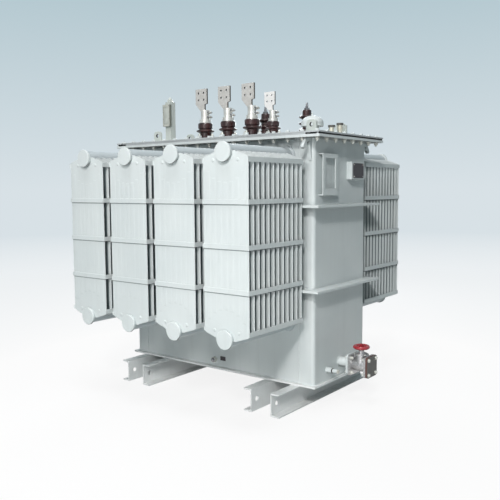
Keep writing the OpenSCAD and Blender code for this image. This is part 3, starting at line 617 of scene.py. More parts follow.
def painted_bore_shade(tree):
    """One in the bores of the cover's lifting lugs: painted shade inside the holes."""
    along = math_node(tree, "ABSOLUTE", math_node(tree, "SUBTRACT", place_along(tree, 0), TANK_X))
    dx = math_node(tree, "SUBTRACT", along, LUG_HOLE_X)
    dz = math_node(tree, "SUBTRACT", place_along(tree, 2), COVER_TOP + LUG_HOLE_Z)
    square = math_node(tree, "ADD", math_node(tree, "MULTIPLY", dx, dx), math_node(tree, "MULTIPLY", dz, dz))
    out = math_node(tree, "SQRT", square)
    return math_node(tree, "SUBTRACT", 1.0, past(tree, out, LUG_HOLE_R))


def filled_flutes(tree, normal, share):
    """Turns the normal on the flutes of the outer panels towards the panel's own, by a share."""
    across = place_along(tree, 1)
    outer = past(tree, math_node(tree, "ABSOLUTE", across), INNER_SHEET)
    side = math_node(tree, "SIGN", across)
    flank = spread(tree, math_node(tree, "MULTIPLY", looking(tree, 1), side), 0.5, 0.7, 0.0, share)
    plain = add_node(tree, "ShaderNodeCombineXYZ", None, {1: side}).outputs[0]
    inputs = {0: math_node(tree, "MULTIPLY", outer, flank), 4: normal, 5: plain}
    mixed = add_node(tree, "ShaderNodeMix", {"data_type": "VECTOR"}, inputs).outputs[1]
    return add_node(tree, "ShaderNodeVectorMath", {"operation": "NORMALIZE"}, {0: mixed}).outputs[0]


def grey_enamel(name, dark, light, sides=None, round_r=ENAMEL_ROUND, mark=None, mark_colour=None, fill=0.0):
    """Sprayed grey enamel: slightly cloudy, faint runs, dust on top, pale edges, and a painted shade on
    faces that look down. The upright sides may be darker, a mark gives other places a colour of their own
    (all the marks used here are painted shade), and thick paint may fill the flutes of the outer panels by a
    share."""
    material, tree, shader = new_finish(name)
    cloudy = mask_of(tree, CLOUDY, Scale=2.6)
    streaks = mask_of(tree, STREAKS, Amount=0.10)
    dust = mask_of(tree, SETTLED, Amount=0.35)
    # Painted shade on faces that look down
    under = mask_of(tree, UNDER_SHADE, Amount=0.9)
    edges = use_group(tree, EDGES, Radius=round_r)
    colour = blend(tree, cloudy, dark, light)
    if sides:
        colour = blend(tree, spread(tree, facing(tree, 2), 0.6, 0.4), colour, sides)
    colour = blend(tree, streaks, colour, ENAMEL_GRIME)
    colour = blend(tree, edges.outputs["Mask"], colour, ENAMEL_EDGE)
    colour = blend(tree, dust, colour, DUST)
    colour = blend(tree, under, colour, UNDERSIDE_SHADE)
    if mark:
        colour = blend(tree, mark(tree), colour, mark_colour)
    rough = cloudy_roughness(tree, cloudy, 0.46, 0.36)
    rough = math_node(tree, "ADD", rough, math_node(tree, "MULTIPLY", dust, 0.4), True)
    feed(tree, shader, Base_Color=colour, Roughness=rough)
    normal = edges.outputs["Normal"]
    relief(tree, shader, 260.0, 0.10, 0.002, filled_flutes(tree, normal, fill) if fill else normal)
    return material


def metal(name, dark, light, rough_low, rough_high, grain_scale, strength,
          metallic=1.0, cloud=28.0, below=None):
    """A metal with cloudy shade, a fine grain and brighter edges, and, when a colour for it is given, a
    painted shade on faces that look down.
    """
    material, tree, shader = new_finish(name)
    cloudy = mask_of(tree, CLOUDY, Scale=cloud)
    edges = use_group(tree, EDGES, Radius=METAL_ROUND)
    colour = blend(tree, bright_mask(tree, cloudy, edges), dark, light)
    # Painted shade on faces that look down
    if below:
        colour = blend(tree, mask_of(tree, UNDER_SHADE, Amount=0.9), colour, below)
    feed(tree, shader, Base_Color=colour, Roughness=cloudy_roughness(tree, cloudy, rough_high, rough_low))
    shader.inputs["Metallic"].default_value = metallic
    relief(tree, shader, grain_scale, strength, 0.001, edges.outputs["Normal"])
    return material


def gloss(name, dark, light, roughness, coat, dusty=0.08):
    """A glossy coloured coat: a glaze or an enamel."""
    material, tree, shader = new_finish(name)
    cloudy = mask_of(tree, CLOUDY, Scale=22.0)
    dust = mask_of(tree, SETTLED, Amount=dusty)
    colour = blend(tree, cloudy, dark, light)
    colour = blend(tree, dust, colour, DUST)
    rough = cloudy_roughness(tree, cloudy, roughness, roughness + 0.1)
    feed(tree, shader, Base_Color=colour, Roughness=rough)
    shader.inputs["Coat Weight"].default_value = coat
    shader.inputs["Coat Roughness"].default_value = 0.06
    relief(tree, shader, 90.0, 0.05, 0.002)
    return material


def matt(name, dark, light, roughness, grain_scale, strength, sides=None):
    """A matt or satin coat with a fine grain. What doesn't look to the front or the back may be painted
    darker, as shade.
    """
    material, tree, shader = new_finish(name)
    cloudy = mask_of(tree, CLOUDY, Scale=18.0)
    dust = mask_of(tree, SETTLED, Amount=0.3)
    edges = use_group(tree, EDGES, Radius=METAL_ROUND)
    colour = blend(tree, bright_mask(tree, cloudy, edges), dark, light)
    colour = blend(tree, dust, colour, DUST)
    # Painted shade on the sides
    if sides:
        colour = blend(tree, spread(tree, facing(tree, 1), 0.5, 0.3), colour, sides)
    rough = cloudy_roughness(tree, cloudy, roughness, roughness + 0.12)
    feed(tree, shader, Base_Color=colour, Roughness=rough)
    relief(tree, shader, grain_scale, strength, 0.001, edges.outputs["Normal"])
    return material


def terminal_metal():
    """Tinned clamps, and above them palms that have dulled, with painted shade on their edges and hole walls.
    """
    material, tree, shader = new_finish("tinned_terminals")
    cloudy = mask_of(tree, CLOUDY, Scale=28.0)
    edges = use_group(tree, EDGES, Radius=METAL_ROUND)
    clamp = blend(tree, bright_mask(tree, cloudy, edges), *TIN_SHADES)
    neutral = past(tree, place_along(tree, 0), TANK_X + NEUTRAL_X)
    palm = blend(tree, cloudy, *PALM_SHADES)
    palm = blend(tree, neutral, palm, NEUTRAL_PALM)
    # Painted shade on the palms' edges and hole walls
    palm = blend(tree, spread(tree, facing(tree, 1), 0.5, 0.3), palm, PALM_HOLE_SHADE)
    start = spread(tree, neutral, 0.0, 1.0, COVER_TOP + CLAMP_TOP, COVER_TOP + CLAMP_TOP * NEUTRAL_SIZE)
    rise = math_node(tree, "SUBTRACT", place_along(tree, 2), start)
    dulled = past(tree, rise, PALM_FROM)
    metallic = spread(tree, dulled, 0.0, 1.0, 0.6, 0.25)
    rough = cloudy_roughness(tree, cloudy, 0.44, 0.26)
    rough = math_node(tree, "ADD", rough, math_node(tree, "MULTIPLY", dulled, 0.25), True)
    feed(tree, shader, Base_Color=blend(tree, dulled, clamp, palm), Metallic=metallic, Roughness=rough)
    relief(tree, shader, 700.0, 0.12, 0.001, edges.outputs["Normal"])
    return material


def rim_packing():
    """Dark packing, painted over along the long sides of the rim."""
    material, tree, shader = new_finish("rim_packing")
    cloudy = mask_of(tree, CLOUDY, Scale=18.0)
    dark = blend(tree, cloudy, *RUBBER_SHADES)
    painted = past(tree, math_node(tree, "ABSOLUTE", place_along(tree, 1)), PAINTED_Y)
    colour = blend(tree, painted, dark, RIM_EDGE_GREY)
    feed(tree, shader, Base_Color=colour, Roughness=cloudy_roughness(tree, cloudy, 0.60, 0.72))
    relief(tree, shader, 300.0, 0.20, 0.001)
    return material


def pocket_metal():
    """Dull nickel pockets, and the vent beside them in the tank's grey."""
    material, tree, shader = new_finish("pocket_metal")
    cloudy = mask_of(tree, CLOUDY, Scale=28.0)
    edges = use_group(tree, EDGES, Radius=METAL_ROUND)
    nickel = blend(tree, cloudy, *NICKEL_SHADES)
    grey = blend(tree, cloudy, *FITTING_SHADES)
    vent = past(tree, place_along(tree, 1), VENT_FROM_Y)
    metallic = spread(tree, vent, 0.0, 1.0, 0.6, 0.0)
    rough = cloudy_roughness(tree, cloudy, 0.55, 0.40)
    feed(tree, shader, Base_Color=blend(tree, vent, nickel, grey), Metallic=metallic, Roughness=rough)
    relief(tree, shader, 500.0, 0.08, 0.001, edges.outputs["Normal"])
    return material


def primed_iron():
    """A dark iron flange with red primer on its sides."""
    material, tree, shader = new_finish("primed_iron")
    cloudy = mask_of(tree, CLOUDY, Scale=18.0)
    edges = use_group(tree, EDGES, Radius=METAL_ROUND)
    colour = blend(tree, bright_mask(tree, cloudy, edges), *IRON_SHADES)
    colour = blend(tree, spread(tree, facing(tree, 0), 0.6, 0.4), colour, PRIMER)
    feed(tree, shader, Base_Color=colour, Roughness=cloudy_roughness(tree, cloudy, 0.45, 0.57))
    relief(tree, shader, 380.0, 0.25, 0.001, edges.outputs["Normal"])
    return material


GREY = grey_enamel("grey_enamel", *ENAMEL_SHADES)
COVER_GREY = grey_enamel("cover_enamel", *ENAMEL_SHADES, sides=RIM_EDGE_GREY)
# Radiators: enamel with painted shade in the gaps and painted shadow below the tie bars
RADIATOR_GREY = grey_enamel("radiator_enamel", *ENAMEL_SHADES,
                            mark=radiator_painted_shade, mark_colour=GAP_SHADE, fill=FLUTE_FILL)
# Headers: the pipes are painted darker, as shade
HEADER_SHADED_GREY = grey_enamel("header_shaded_enamel", *ENAMEL_SHADES,
                          mark=shaded_header_pipes, mark_colour=HEADER_SHADE)
# Base plate and skids: a lighter copy of the enamel, as painted light
BASE_LIT_GREY = grey_enamel("base_lit_enamel", *BASE_LIT_SHADES, round_r=BASE_ROUND)
# Lugs: painted shade inside their bores
LUG_GREY = grey_enamel("lug_enamel", *FITTING_SHADES, mark=painted_bore_shade, mark_colour=BORE_SHADE)
FITTING_GREY = grey_enamel("fitting_enamel", *FITTING_SHADES)
GLAZE = gloss("brown_glaze", *GLAZE_SHADES, 0.28, 0.15)
RED = gloss("red_enamel", *RED_SHADES, 0.25, 0.5)
TERMINALS = terminal_metal()
NICKEL = pocket_metal()
VALVE = metal("cast_valve_metal", *VALVE_SHADES, 0.30, 0.42, 420.0, 0.18,
              metallic=0.75, cloud=90.0, below=VALVE_UNDER_SHADE)
ZINC = metal("zinc_plate", *ZINC_SHADES, 0.34, 0.54, 600.0, 0.10, metallic=0.5)
STEEL = metal("dark_steel", *STEEL_SHADES, 0.30, 0.50, 600.0, 0.10)
IRON = matt("dark_iron", *IRON_SHADES, 0.45, 380.0, 0.25)
PRIMED = primed_iron()
PLATE = matt("dark_plate", *PLATE_SHADES, 0.46, 500.0, 0.06)
# Gauge frame: painted shade on its sides
CREAM = matt("cream_frame", *CREAM_SHADES, 0.40, 500.0, 0.08, sides=FRAME_SIDE_SHADE)
RUBBER = matt("seal_rubber", *RUBBER_SHADES, 0.62, 300.0, 0.20)
PACKING = rim_packing()
PANE = gloss("milky_pane", *PANE_SHADES, 0.18, 0.3)


# Camera, floor, sky and lamps

def set_camera():
    """The camera that the photo was taken with."""
    yaw, pitch, roll = (math.radians(a) for a in (CAMERA_YAW, CAMERA_PITCH, CAMERA_ROLL))
    forward = Vector((-math.sin(yaw) * math.cos(pitch), math.cos(yaw) * math.cos(pitch), math.sin(pitch)))
    level = Vector((math.cos(yaw), math.sin(yaw), 0))
    upright = level.cross(forward)
    right = math.cos(roll) * level + math.sin(roll) * upright
    up = math.cos(roll) * upright - math.sin(roll) * level
    turn = Matrix((right, up, -forward)).transposed().to_euler()
    bpy.ops.object.camera_add(location=CAMERA_PLACE, rotation=turn)
    camera = bpy.context.object
    camera.data.lens = CAMERA_LENS
    camera.data.clip_end = 200
    bpy.context.scene.camera = camera


def seen_directly(tree):
    """One where the camera sees a surface straight on, in a mirror or through glass."""
    path = add_node(tree, "ShaderNodeLightPath")
    seen = math_node(tree, "MAXIMUM", path.outputs["Is Camera Ray"], path.outputs["Is Glossy Ray"])
    return math_node(tree, "MAXIMUM", seen, path.outputs["Is Transmission Ray"])


def set_sky():
    """An even light all round, seen as a pale blue-grey sky that is lighter near the floor."""
    world = bpy.data.worlds.new("studio_sky")
    bpy.context.scene.world = world
    world.use_nodes = True
    tree = world.node_tree
    tree.nodes.clear()
    way = add_node(tree, "ShaderNodeTexCoord").outputs["Generated"]
    height = add_node(tree, "ShaderNodeSeparateXYZ", None, {0: way}).outputs[2]
    colour = blend(tree, spread(tree, height, 0.0, SKY_RISE), SKY_LOW, SKY_HIGH)
    shown = add_node(tree, "ShaderNodeBackground", None, {"Color": colour, "Strength": 1.0}).outputs[0]
    glow = add_node(tree, "ShaderNodeBackground", None, {"Color": SKY_TINT, "Strength": SKY_GLOW}).outputs[0]
    inputs = {0: seen_directly(tree), 1: glow, 2: shown}
    mixed = add_node(tree, "ShaderNodeMixShader", None, inputs).outputs[0]
    add_node(tree, "ShaderNodeOutputWorld", None, {"Surface": mixed})


def floor_finish():
    """White close to the object, the sky's colour far away, with the object's shadow on it."""
    material, tree, shader = new_finish("pale_floor")
    place = add_node(tree, "ShaderNodeTexCoord").outputs["Object"]
    away = add_node(tree, "ShaderNodeVectorMath", {"operation": "LENGTH"}, {0: place}).outputs["Value"]
    far = spread(tree, away, FLOOR_WHITE_R, FLOOR_SKY_R)
    far = math_node(tree, "POWER", far, FLOOR_FADE)
    grain = spread(tree, object_noise(tree, 40.0, 4.0), 0.0, 1.0, 0.97, 1.0)
    colour = blend(tree, far, FLOOR_NEAR, SKY_LOW)
    inputs = {0: colour, "Scale": grain}
    tinted = add_node(tree, "ShaderNodeVectorMath", {"operation": "SCALE"}, inputs).outputs[0]
    seen = seen_directly(tree)
    feed(tree, shader, Base_Color=blend(tree, seen, FLOOR_BOUNCE, tinted))
    shader.inputs["Roughness"].default_value = 0.85
    shader.inputs["Specular IOR Level"].default_value = 0.1
    glow = add_node(tree, "ShaderNodeEmission", None, {"Color": colour, "Strength": 1.0}).outputs[0]
    share = math_node(tree, "MULTIPLY", seen, spread(tree, away, *FLOOR_GLOW_R, FLOOR_SHARE, 1.0))
    mixed = add_node(tree, "ShaderNodeMixShader", None, {0: share, 1: shader.outputs[0], 2: glow}).outputs[0]
    tree.links.new(mixed, tree.nodes["Material Output"].inputs["Surface"])
    return material


def set_floor():
    """A wide round floor under the object."""
    bpy.ops.object.select_all(action="DESELECT")
    bpy.ops.mesh.primitive_circle_add(vertices=96, radius=FLOOR_R, fill_type="NGON", location=(0, 0, 0))
    floor = started("floor")
    floor.data.materials.append(floor_finish())


def lamp(name, place, aim, size, power, colour):
    """A softbox at a place, turned to a point."""
    place, aim = Vector(place), Vector(aim)
    turn = (aim - place).to_track_quat("-Z", "Y").to_euler()
    bpy.ops.object.light_add(type="AREA", location=place, rotation=turn)
    light = bpy.context.object
    light.name = name
    light.data.shape = "RECTANGLE"
    light.data.size, light.data.size_y = size
    light.data.energy = power
    light.data.color = colour
    light.visible_camera = False


set_camera()
set_sky()
set_floor()
for lamp_row in LAMPS:
    lamp(*lamp_row)

bpy.context.scene.view_settings.view_transform = "Standard"


# The finish of every construction node

NODE_FINISH = {
    "cover_plate": COVER_GREY, "cover_gasket": PACKING, "cover_lifting_lugs": LUG_GREY,
    "lv_bushings": GLAZE, "hv_bushings": GLAZE, "lv_terminals": TERMINALS, "hv_terminals": STEEL,
    "oil_gauge_post": FITTING_GREY, "oil_gauge_window": CREAM, "thermometer_pockets": NICKEL,
    "rating_plate": PLATE, "drain_valve_body": VALVE, "drain_blank_flange": PRIMED, "drain_handwheel": RED,
    "earth_terminal": ZINC, "bottom_plate": BASE_LIT_GREY,
    "front_headers": HEADER_SHADED_GREY, "back_headers": HEADER_SHADED_GREY,
}


def usual_finish(node_name):
    """The finish of a node that isn't listed."""
    if "_radiator_" in node_name:
        return RADIATOR_GREY
    # Skids take the lighter copy of the enamel: painted light
    return BASE_LIT_GREY if node_name.endswith("_skid") else GREY


for node_name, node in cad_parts.items():
    for material_slot in node.material_slots:
        material_slot.material = NODE_FINISH.get(node_name, usual_finish(node_name))


# Bolts, nuts and rivets

def fastener(radius, height, washer, end_r=0.0, end_l=0.0):
    """A hexagon on its washer, and past it the bolt's end if it is a nut. It stands on the origin."""
    thick = washer * 0.18
    ring = rod("washer", washer, (0, 0, 0), (0, 0, thick), 16)
    hexagon = rod("hexagon", radius, (0, 0, thick), (0, 0, thick + height * 0.88), 6)
    with shaping(hexagon):
        pick_faces(hexagon, lambda middle, normal: normal.z > 0.9)
        bpy.ops.mesh.inset(thickness=radius * 0.12)
        bpy.ops.transform.translate(value=(0, 0, height * 0.12))
    pieces = [softened(ring, thick * 0.2, 1), softened(hexagon, radius * 0.04, 1)]
    if end_l:
        end = rod("end", end_r, (0, 0, thick + height / 2), (0, 0, thick + height + end_l), 10)
        pieces.append(softened(end, end_r * 0.15, 1))
    return joined("fastener", pieces)


def fastened(name, sizes, places, finish):
    """Fasteners of one kind on the tank, as one piece."""
    finished(copied(name, fastener(*sizes), places), finish)


def rivet(radius, height):
    """A low round head, standing on the origin."""
    head = rod("rivet", radius, (0, 0, -height), (0, 0, height * 0.4), 12)
    with shaping(head):
        pick_faces(head, lambda middle, normal: normal.z > 0.9)
        bpy.ops.mesh.inset(thickness=radius * 0.3)
        bpy.ops.transform.translate(value=(0, 0, height * 0.42))
        bpy.ops.mesh.inset(thickness=radius * 0.35)
        bpy.ops.transform.translate(value=(0, 0, height * 0.18))
    return softened(head, radius * 0.05, 1, 60)


def standing(point, way=(0, 0, 1), turn=0.0, size=1.0):
    """Where a fastener stands, the way it points, its turn in degrees and its size."""
    aim = Vector(way).to_track_quat("Z", "Y").to_matrix().to_4x4()
    spin = Matrix.Rotation(math.radians(turn), 4, "Z")
    return Matrix.Translation(point) @ aim @ spin @ Matrix.Scale(size, 4)


def some_turn(number):
    """A turn of a hexagon that looks tightened by hand."""
    return (17 * number * number) % 60


def ring_places(x, y, radius, count, first=0.0):
    """Points round a circle, in plan."""
    angles = [math.radians(first + 360 * i / count) for i in range(count)]
    return [(x + radius * math.cos(a), y + radius * math.sin(a)) for a in angles]


def rim_places():
    """Places of the bolts round the rim, in plan."""
    (left, right), (front, back) = RIM_X, RIM_Y
    places = []
    for i in range(RIM_BOLTS_LONG):
        x = left + (right - left) * i / (RIM_BOLTS_LONG - 1)
        places += [(x, front), (x, back)]
    for i in range(1, RIM_BOLTS_SHORT - 1):
        y = front + (back - front) * i / (RIM_BOLTS_SHORT - 1)
        places += [(left, y), (right, y)]
    return places


def rim_bolts():
    """Heads on the cover, nuts under the flange and, in the slots, the shanks between them."""
    places = list(enumerate(rim_places()))
    heads = [standing((x, y, COVER_TOP), turn=some_turn(n)) for n, (x, y) in places]
    nuts = [standing((x, y, RIM_UNDER), (0, 0, -1), some_turn(n + 5)) for n, (x, y) in places]
    fastened("rim_bolt_heads", RIM_HEAD, heads, GREY)
    fastened("rim_nuts", RIM_NUT, nuts, ZINC)
    shank = rod("shank", SHANK_R, (0, 0, RIM_UNDER - SHANK_LAP), (0, 0, COVER_TOP + SHANK_LAP), 10)
    shank = softened(shank, SHANK_SOFT, 1)
    corners = [Matrix.Translation((x, y, 0)) for x in RIM_X for y in RIM_Y]
    finished(copied("corner_bolt_shanks", shank, corners), STEEL)


def bushing_nuts():
    """A nut on each claw that holds a bushing down."""
    bushings = [(x, LV_Y, LV_FOOT, size) for x, size in LV_PLACES]
    bushings += [(x, HV_Y, HV_FOOT, 1.0) for x in HV_PLACES]
    places = []
    for x, y, foot, size in bushings:
        top = COVER_TOP + CLAW_TOP * size
        for px, py in ring_places(TANK_X + x, y, (foot + SEAT_W / 2) * size, 4):
            places.append(standing((px, py, top), turn=some_turn(len(places)), size=size))
    fastened("bushing_nuts", BUSHING_NUT, places, ZINC)


def clamp_bolts():
    """Bolts that squeeze the split clamps: a head in front, a nut behind."""
    heads, nuts = [], []
    for x, size in LV_PLACES:
        for z in EAR_Z:
            where = Vector((TANK_X + x + EAR_X * size, LV_Y, COVER_TOP + z * size))
            reach = Vector((0, EAR_Y * size, 0))
            heads.append(standing(where - reach, (0, -1, 0), some_turn(len(heads)), size))
            nuts.append(standing(where + reach, (0, 1, 0), some_turn(len(nuts) + 3), size))
    heads = copied("clamp_bolt_heads", fastener(*CLAMP_HEAD), heads)
    nuts = copied("clamp_nuts", fastener(*CLAMP_NUT), nuts)
    finished(joined("clamp_bolts", [heads, nuts]), STEEL)


def stud_nuts():
    """A nut on each high-voltage stud."""
    places = [standing((TANK_X + x, HV_Y, COVER_TOP + HV_NUT_Z), turn=some_turn(i + 2))
              for i, x in enumerate(HV_PLACES)]
    fastened("stud_nuts", STUD_NUT, places, STEEL)


def relief_bolts():
    """Nuts round the pressure relief valve's foot."""
    x, y = middle_of("pressure_relief_valve")[:2]
    places = [standing((px, py, COVER_TOP + SEAT_T), turn=some_turn(n))
              for n, (px, py) in enumerate(ring_places(x, y, RELIEF_BOLT_R, 6))]
    fastened("relief_valve_nuts", RELIEF_NUT, places, ZINC)


def drain_bolts():
    """Bolts through both pairs of drain flanges, screws on the bonnet and the nut on the handwheel."""
    low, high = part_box("drain_blank_flange")
    y, z = middle_of("drain_blank_flange")[1:]
    pipe_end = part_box("drain_pipe")[1].x
    corners = [(y + a * FLANGE_BOLT, z + b * FLANGE_BOLT) for a in (-1, 1) for b in (-1, 1)]
    heads, nuts = [], []
    for n, (cy, cz) in enumerate(corners):
        heads += [standing((pipe_end - FLANGE_T, cy, cz), (-1, 0, 0), some_turn(n)),
                  standing((high.x, cy, cz), (1, 0, 0), some_turn(n + 4))]
        nuts += [standing((pipe_end + FLANGE_T, cy, cz), (1, 0, 0), some_turn(n + 1)),
                 standing((low.x - FLANGE_T, cy, cz), (-1, 0, 0), some_turn(n + 2))]
    heads = copied("drain_heads", fastener(*DRAIN_HEAD), heads)
    nuts = copied("drain_nuts", fastener(*DRAIN_NUT), nuts)
    middle = ((pipe_end + low.x) / 2, y)
    screws = [standing((px, py, z + BONNET_Z), turn=some_turn(n))
              for n, (px, py) in enumerate(ring_places(*middle, BONNET_BOLT_R, 6, 30))]
    screws = copied("bonnet_screws", fastener(*BONNET_SCREW), screws)
    finished(joined("drain_valve_bolts", [heads, nuts, screws]), ZINC)
    nut = copied("handwheel_nut", fastener(*WHEEL_NUT), [standing((*middle, z + HUB_Z))])
    finished(nut, RED, "handwheel")


def sampling_cap():
    """The screw cap of the sampling plug, and the dark washer under it."""
    low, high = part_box("sampling_plug")
    y, z = middle_of("sampling_plug")[1:]
    fastened("sampling_cap", PLUG_HEAD, [standing((high.x, y, z), (1, 0, 0), 10)], ZINC)
    step = low.x + PLUG_STEP
    washer = rod("sampling_washer", PLUG_WASHER_R,
                 (step - PLUG_WASHER_LAP, y, z), (step + PLUG_WASHER_T, y, z), 28)
    with shaping(washer):
        pick_faces(washer, lambda middle, normal: normal.x > 0.9)
        bpy.ops.mesh.inset(thickness=PLUG_WASHER_EDGE)
        bpy.ops.transform.translate(value=(PLUG_WASHER_EDGE, 0, 0))
    finished(softened(washer, WASHER_SOFT, 1), RUBBER)


def plate_rivets():
    """A rivet in each corner of the rating plate."""
    low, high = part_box("rating_plate")
    places = [standing((high.x, y, z), (1, 0, 0)) for y in (low.y + RIVET_INSET, high.y - RIVET_INSET)
              for z in (low.z + RIVET_INSET, high.z - RIVET_INSET)]
    finished(copied("plate_rivets", rivet(*PLATE_RIVET), places), ZINC)


def earthing():
    """The bolt in the earth terminal and the small blank plate beside it."""
    x, _, z = middle_of("earth_terminal")
    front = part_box("earth_terminal")[0].y
    fastened("earth_bolt", EARTH_HEAD, [standing((x, front, z), (0, -1, 0), 20)], STEEL)
    x, z = TANK_X + EARTH_PLATE_X, EARTH_PLATE_Z
    half_w, half_h = EARTH_PLATE_HALF
    wall = -TANK_HALF_W
    corners = (x - half_w, wall - EARTH_PLATE_T, z - half_h), (x + half_w, wall, z + half_h)
    plate = block("earth_plate", *corners)
    rim, sunk = EARTH_PLATE_RIM
    with shaping(plate):
        pick_faces(plate, lambda middle, normal: normal.y < -0.9)
        bpy.ops.mesh.inset(thickness=rim, depth=sunk)
    finished(softened(plate, PLATE_SOFT, 1), PLATE)


def gauge_glass():
    """The milky pane of the oil gauge, with the screws of its frame."""
    low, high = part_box("oil_gauge_window")
    edge = (high.x - low.x) / 8
    floor_y = low.y + edge / 2
    side, end = edge + PANE_PLAY, 2 * edge + PANE_PLAY
    pane = block("gauge_glass", (low.x + side, floor_y - PANE_FRONT, low.z + end),
                 (high.x - side, floor_y + PANE_BACK, high.z - end))
    with shaping(pane):
        pick_faces(pane, lambda middle, normal: normal.y < -0.9)
        bpy.ops.mesh.inset(thickness=PANE_EDGE)
        bpy.ops.transform.translate(value=(0, -PANE_RISE, 0))
    finished(softened(pane, PANE_SOFT), PANE)
    sides = (low.x + edge / 2, high.x - edge / 2)
    levels = [low.z + edge + (high.z - low.z - 2 * edge) * i / 3 for i in range(4)]
    screws = [standing((x, low.y, z), (0, -1, 0)) for x in sides for z in levels]
    finished(copied("gauge_screws", rivet(*GAUGE_SCREW), screws), STEEL)


def pocket_caps():
    """Dark caps with a gripped rim and a sunk top on the thermometer pockets."""
    cap = rod("pocket_cap", POCKET_CAP_R, (0, 0, -POCKET_CAP_T), (0, 0, POCKET_CAP_RISE), 24)
    grip, grip_depth = POCKET_CAP_GRIP
    sunk, sunk_depth = POCKET_CAP_SUNK
    with shaping(cap):
        pick_faces(cap, lambda middle, normal: abs(normal.z) < 0.1)
        bpy.ops.mesh.inset(thickness=grip, depth=grip_depth, use_individual=True)
        pick_faces(cap, lambda middle, normal: normal.z > 0.9)
        bpy.ops.mesh.inset(thickness=POCKET_CAP_RIM)
        bpy.ops.mesh.inset(thickness=sunk, depth=sunk_depth)
    cap = softened(cap, CAP_SOFT, 1)
    x = middle_of("thermometer_pockets")[0]
    places = [Matrix.Translation((x, y, COVER_TOP + h)) for y, h in POCKET_TOPS]
    finished(copied("pocket_caps", cap, places), IRON)


def bushing_seals():
    """Dark seals that show round the foot of each bushing's clamping flange."""
    lv_r, hv_r = LV_FOOT + SEAT_W + SEAL_RIM, HV_FOOT + SEAT_W + SEAL_RIM
    ring = rod("seal", lv_r, (0, 0, -SEAL_RISE), (0, 0, SEAL_T), 40)
    with shaping(ring):
        pick_faces(ring, lambda middle, normal: normal.z > 0.9)
        bpy.ops.mesh.inset(thickness=SEAT_W / 2)
        bpy.ops.transform.translate(value=(0, 0, SEAL_RISE))
    ring = softened(ring, SEAL_SOFT)
    hv_size = hv_r / lv_r
    places = [standing((TANK_X + x, LV_Y, COVER_TOP), size=size) for x, size in LV_PLACES]
    places += [standing((TANK_X + x, HV_Y, COVER_TOP), size=hv_size) for x in HV_PLACES]
    finished(copied("bushing_seals", ring, places), RUBBER)


def panel_dimples():
    """Pressed dimples beside the header caps on the outer panels."""
    places = []
    for side in (-1, 1):
        for x in RADIATOR_X:
            for z, drop in ((HEADER_Z[0], DIMPLE_DROP), (HEADER_Z[1], -DIMPLE_DROP)):
                for dx in (-DIMPLE_X, DIMPLE_X):
                    places.append(standing((TANK_X + x + dx, side * OUTER_SHEET, z + drop), (0, side, 0)))
    finished(copied("panel_dimples", rivet(*DIMPLE), places), GREY)


# Weld beads

def ripple_of(radius, step):
    """One ripple of a weld bead, lying along Z."""
    bpy.ops.object.select_all(action="DESELECT")
    bpy.ops.mesh.primitive_uv_sphere_add(segments=6, ring_count=4, radius=radius)
    ripple = started("bead")
    with shaping(ripple):
        bpy.ops.mesh.select_all(action="SELECT")
        bpy.ops.transform.resize(value=(1, 1, step * 0.8 / radius))
    bpy.ops.object.shade_smooth_by_angle(angle=math.radians(50))
    return ripple


def bead(start, end, radius, pitch=WELD_PITCH):
    """A weld bead with its ripples, from one point to another."""
    start, end = Vector(start), Vector(end)
    along = end - start
    count = max(2, round(along.length / pitch))
    step = along.length / count
    ripple = ripple_of(radius, step)
    row = ripple.modifiers.new("row", "ARRAY")
    row.count = count
    row.use_relative_offset = False
    row.use_constant_offset = True
    row.constant_offset_displace = (0, 0, step)
    bpy.ops.object.modifier_apply(modifier=row.name)
    ripple.data.transform(standing(start + along * (step / 2 / along.length), along))
    return ripple


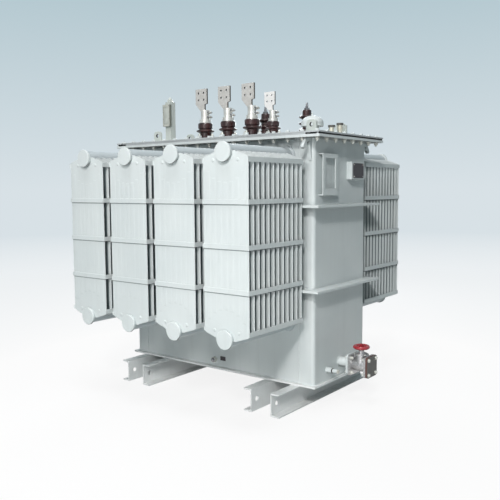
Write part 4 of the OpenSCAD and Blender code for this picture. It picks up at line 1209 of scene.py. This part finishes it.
def ring_bead(middle, way, radius, width):
    """A weld bead with its ripples, round a pipe."""
    count = round(2 * math.pi * radius / RING_WELD_PITCH)
    ripple = ripple_of(width, 2 * math.pi * radius / count)
    out = Matrix.Translation((radius, 0, 0)) @ Matrix.Rotation(math.pi / 2, 4, "X")
    places = [standing(middle, way, 360 * i / count) @ out for i in range(count)]
    return copied("bead", ripple, places)


def round_tank(z, radius):
    """Beads along the four walls at one height."""
    left, right = TANK_X - TANK_HALF_L, TANK_X + TANK_HALF_L
    half_w, r = TANK_HALF_W, CORNER_R
    long_sides = [bead((left + r, y, z), (right - r, y, z), radius) for y in (-half_w, half_w)]
    return long_sides + [bead((x, r - half_w, z), (x, half_w - r, z), radius) for x in (left, right)]


def tank_welds():
    """Beads along the tank's rim, base, seams and stiffeners."""
    finished(joined("rim_weld", round_tank(RIM_UNDER, WELD_R)), GREY)
    finished(joined("base_weld", round_tank(BASE_TOP, WELD_R)), GREY)
    seams = [bead((x, y, BASE_TOP), (x, y, RIM_UNDER), SEAM_WELD_R)
             for x in (TANK_X - SEAM_X, TANK_X + SEAM_X) for y in (-TANK_HALF_W, TANK_HALF_W)]
    finished(joined("corner_seams", seams), GREY)
    stiffeners = [piece for z in STIFFENER_EDGES for piece in round_tank(z, SEAM_WELD_R)]
    finished(joined("stiffener_welds", stiffeners), GREY)


def fitting_welds():
    """Beads at the lugs, the drain pipe and the sampling plug."""
    low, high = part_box("cover_lifting_lugs")
    pieces = []
    for x in (low.x, high.x - LUG_W):
        for y in (low.y, high.y):
            pieces.append(bead((x, y, COVER_TOP), (x + LUG_W, y, COVER_TOP), SEAM_WELD_R, LUG_WELD_PITCH))
    fittings = [("drain_pipe", DRAIN_WELD_R, WELD_R), ("sampling_plug", PLUG_WELD_R, SEAM_WELD_R)]
    for node_name, radius, width in fittings:
        y, z = middle_of(node_name)[1:]
        pieces.append(ring_bead((TANK_X + TANK_HALF_L, y, z), (1, 0, 0), radius, width))
    finished(joined("fitting_welds", pieces), GREY)


rim_bolts()
bushing_nuts()
clamp_bolts()
stud_nuts()
relief_bolts()
drain_bolts()
sampling_cap()
plate_rivets()
earthing()
gauge_glass()
pocket_caps()
bushing_seals()
panel_dimples()
tank_welds()
fitting_welds()
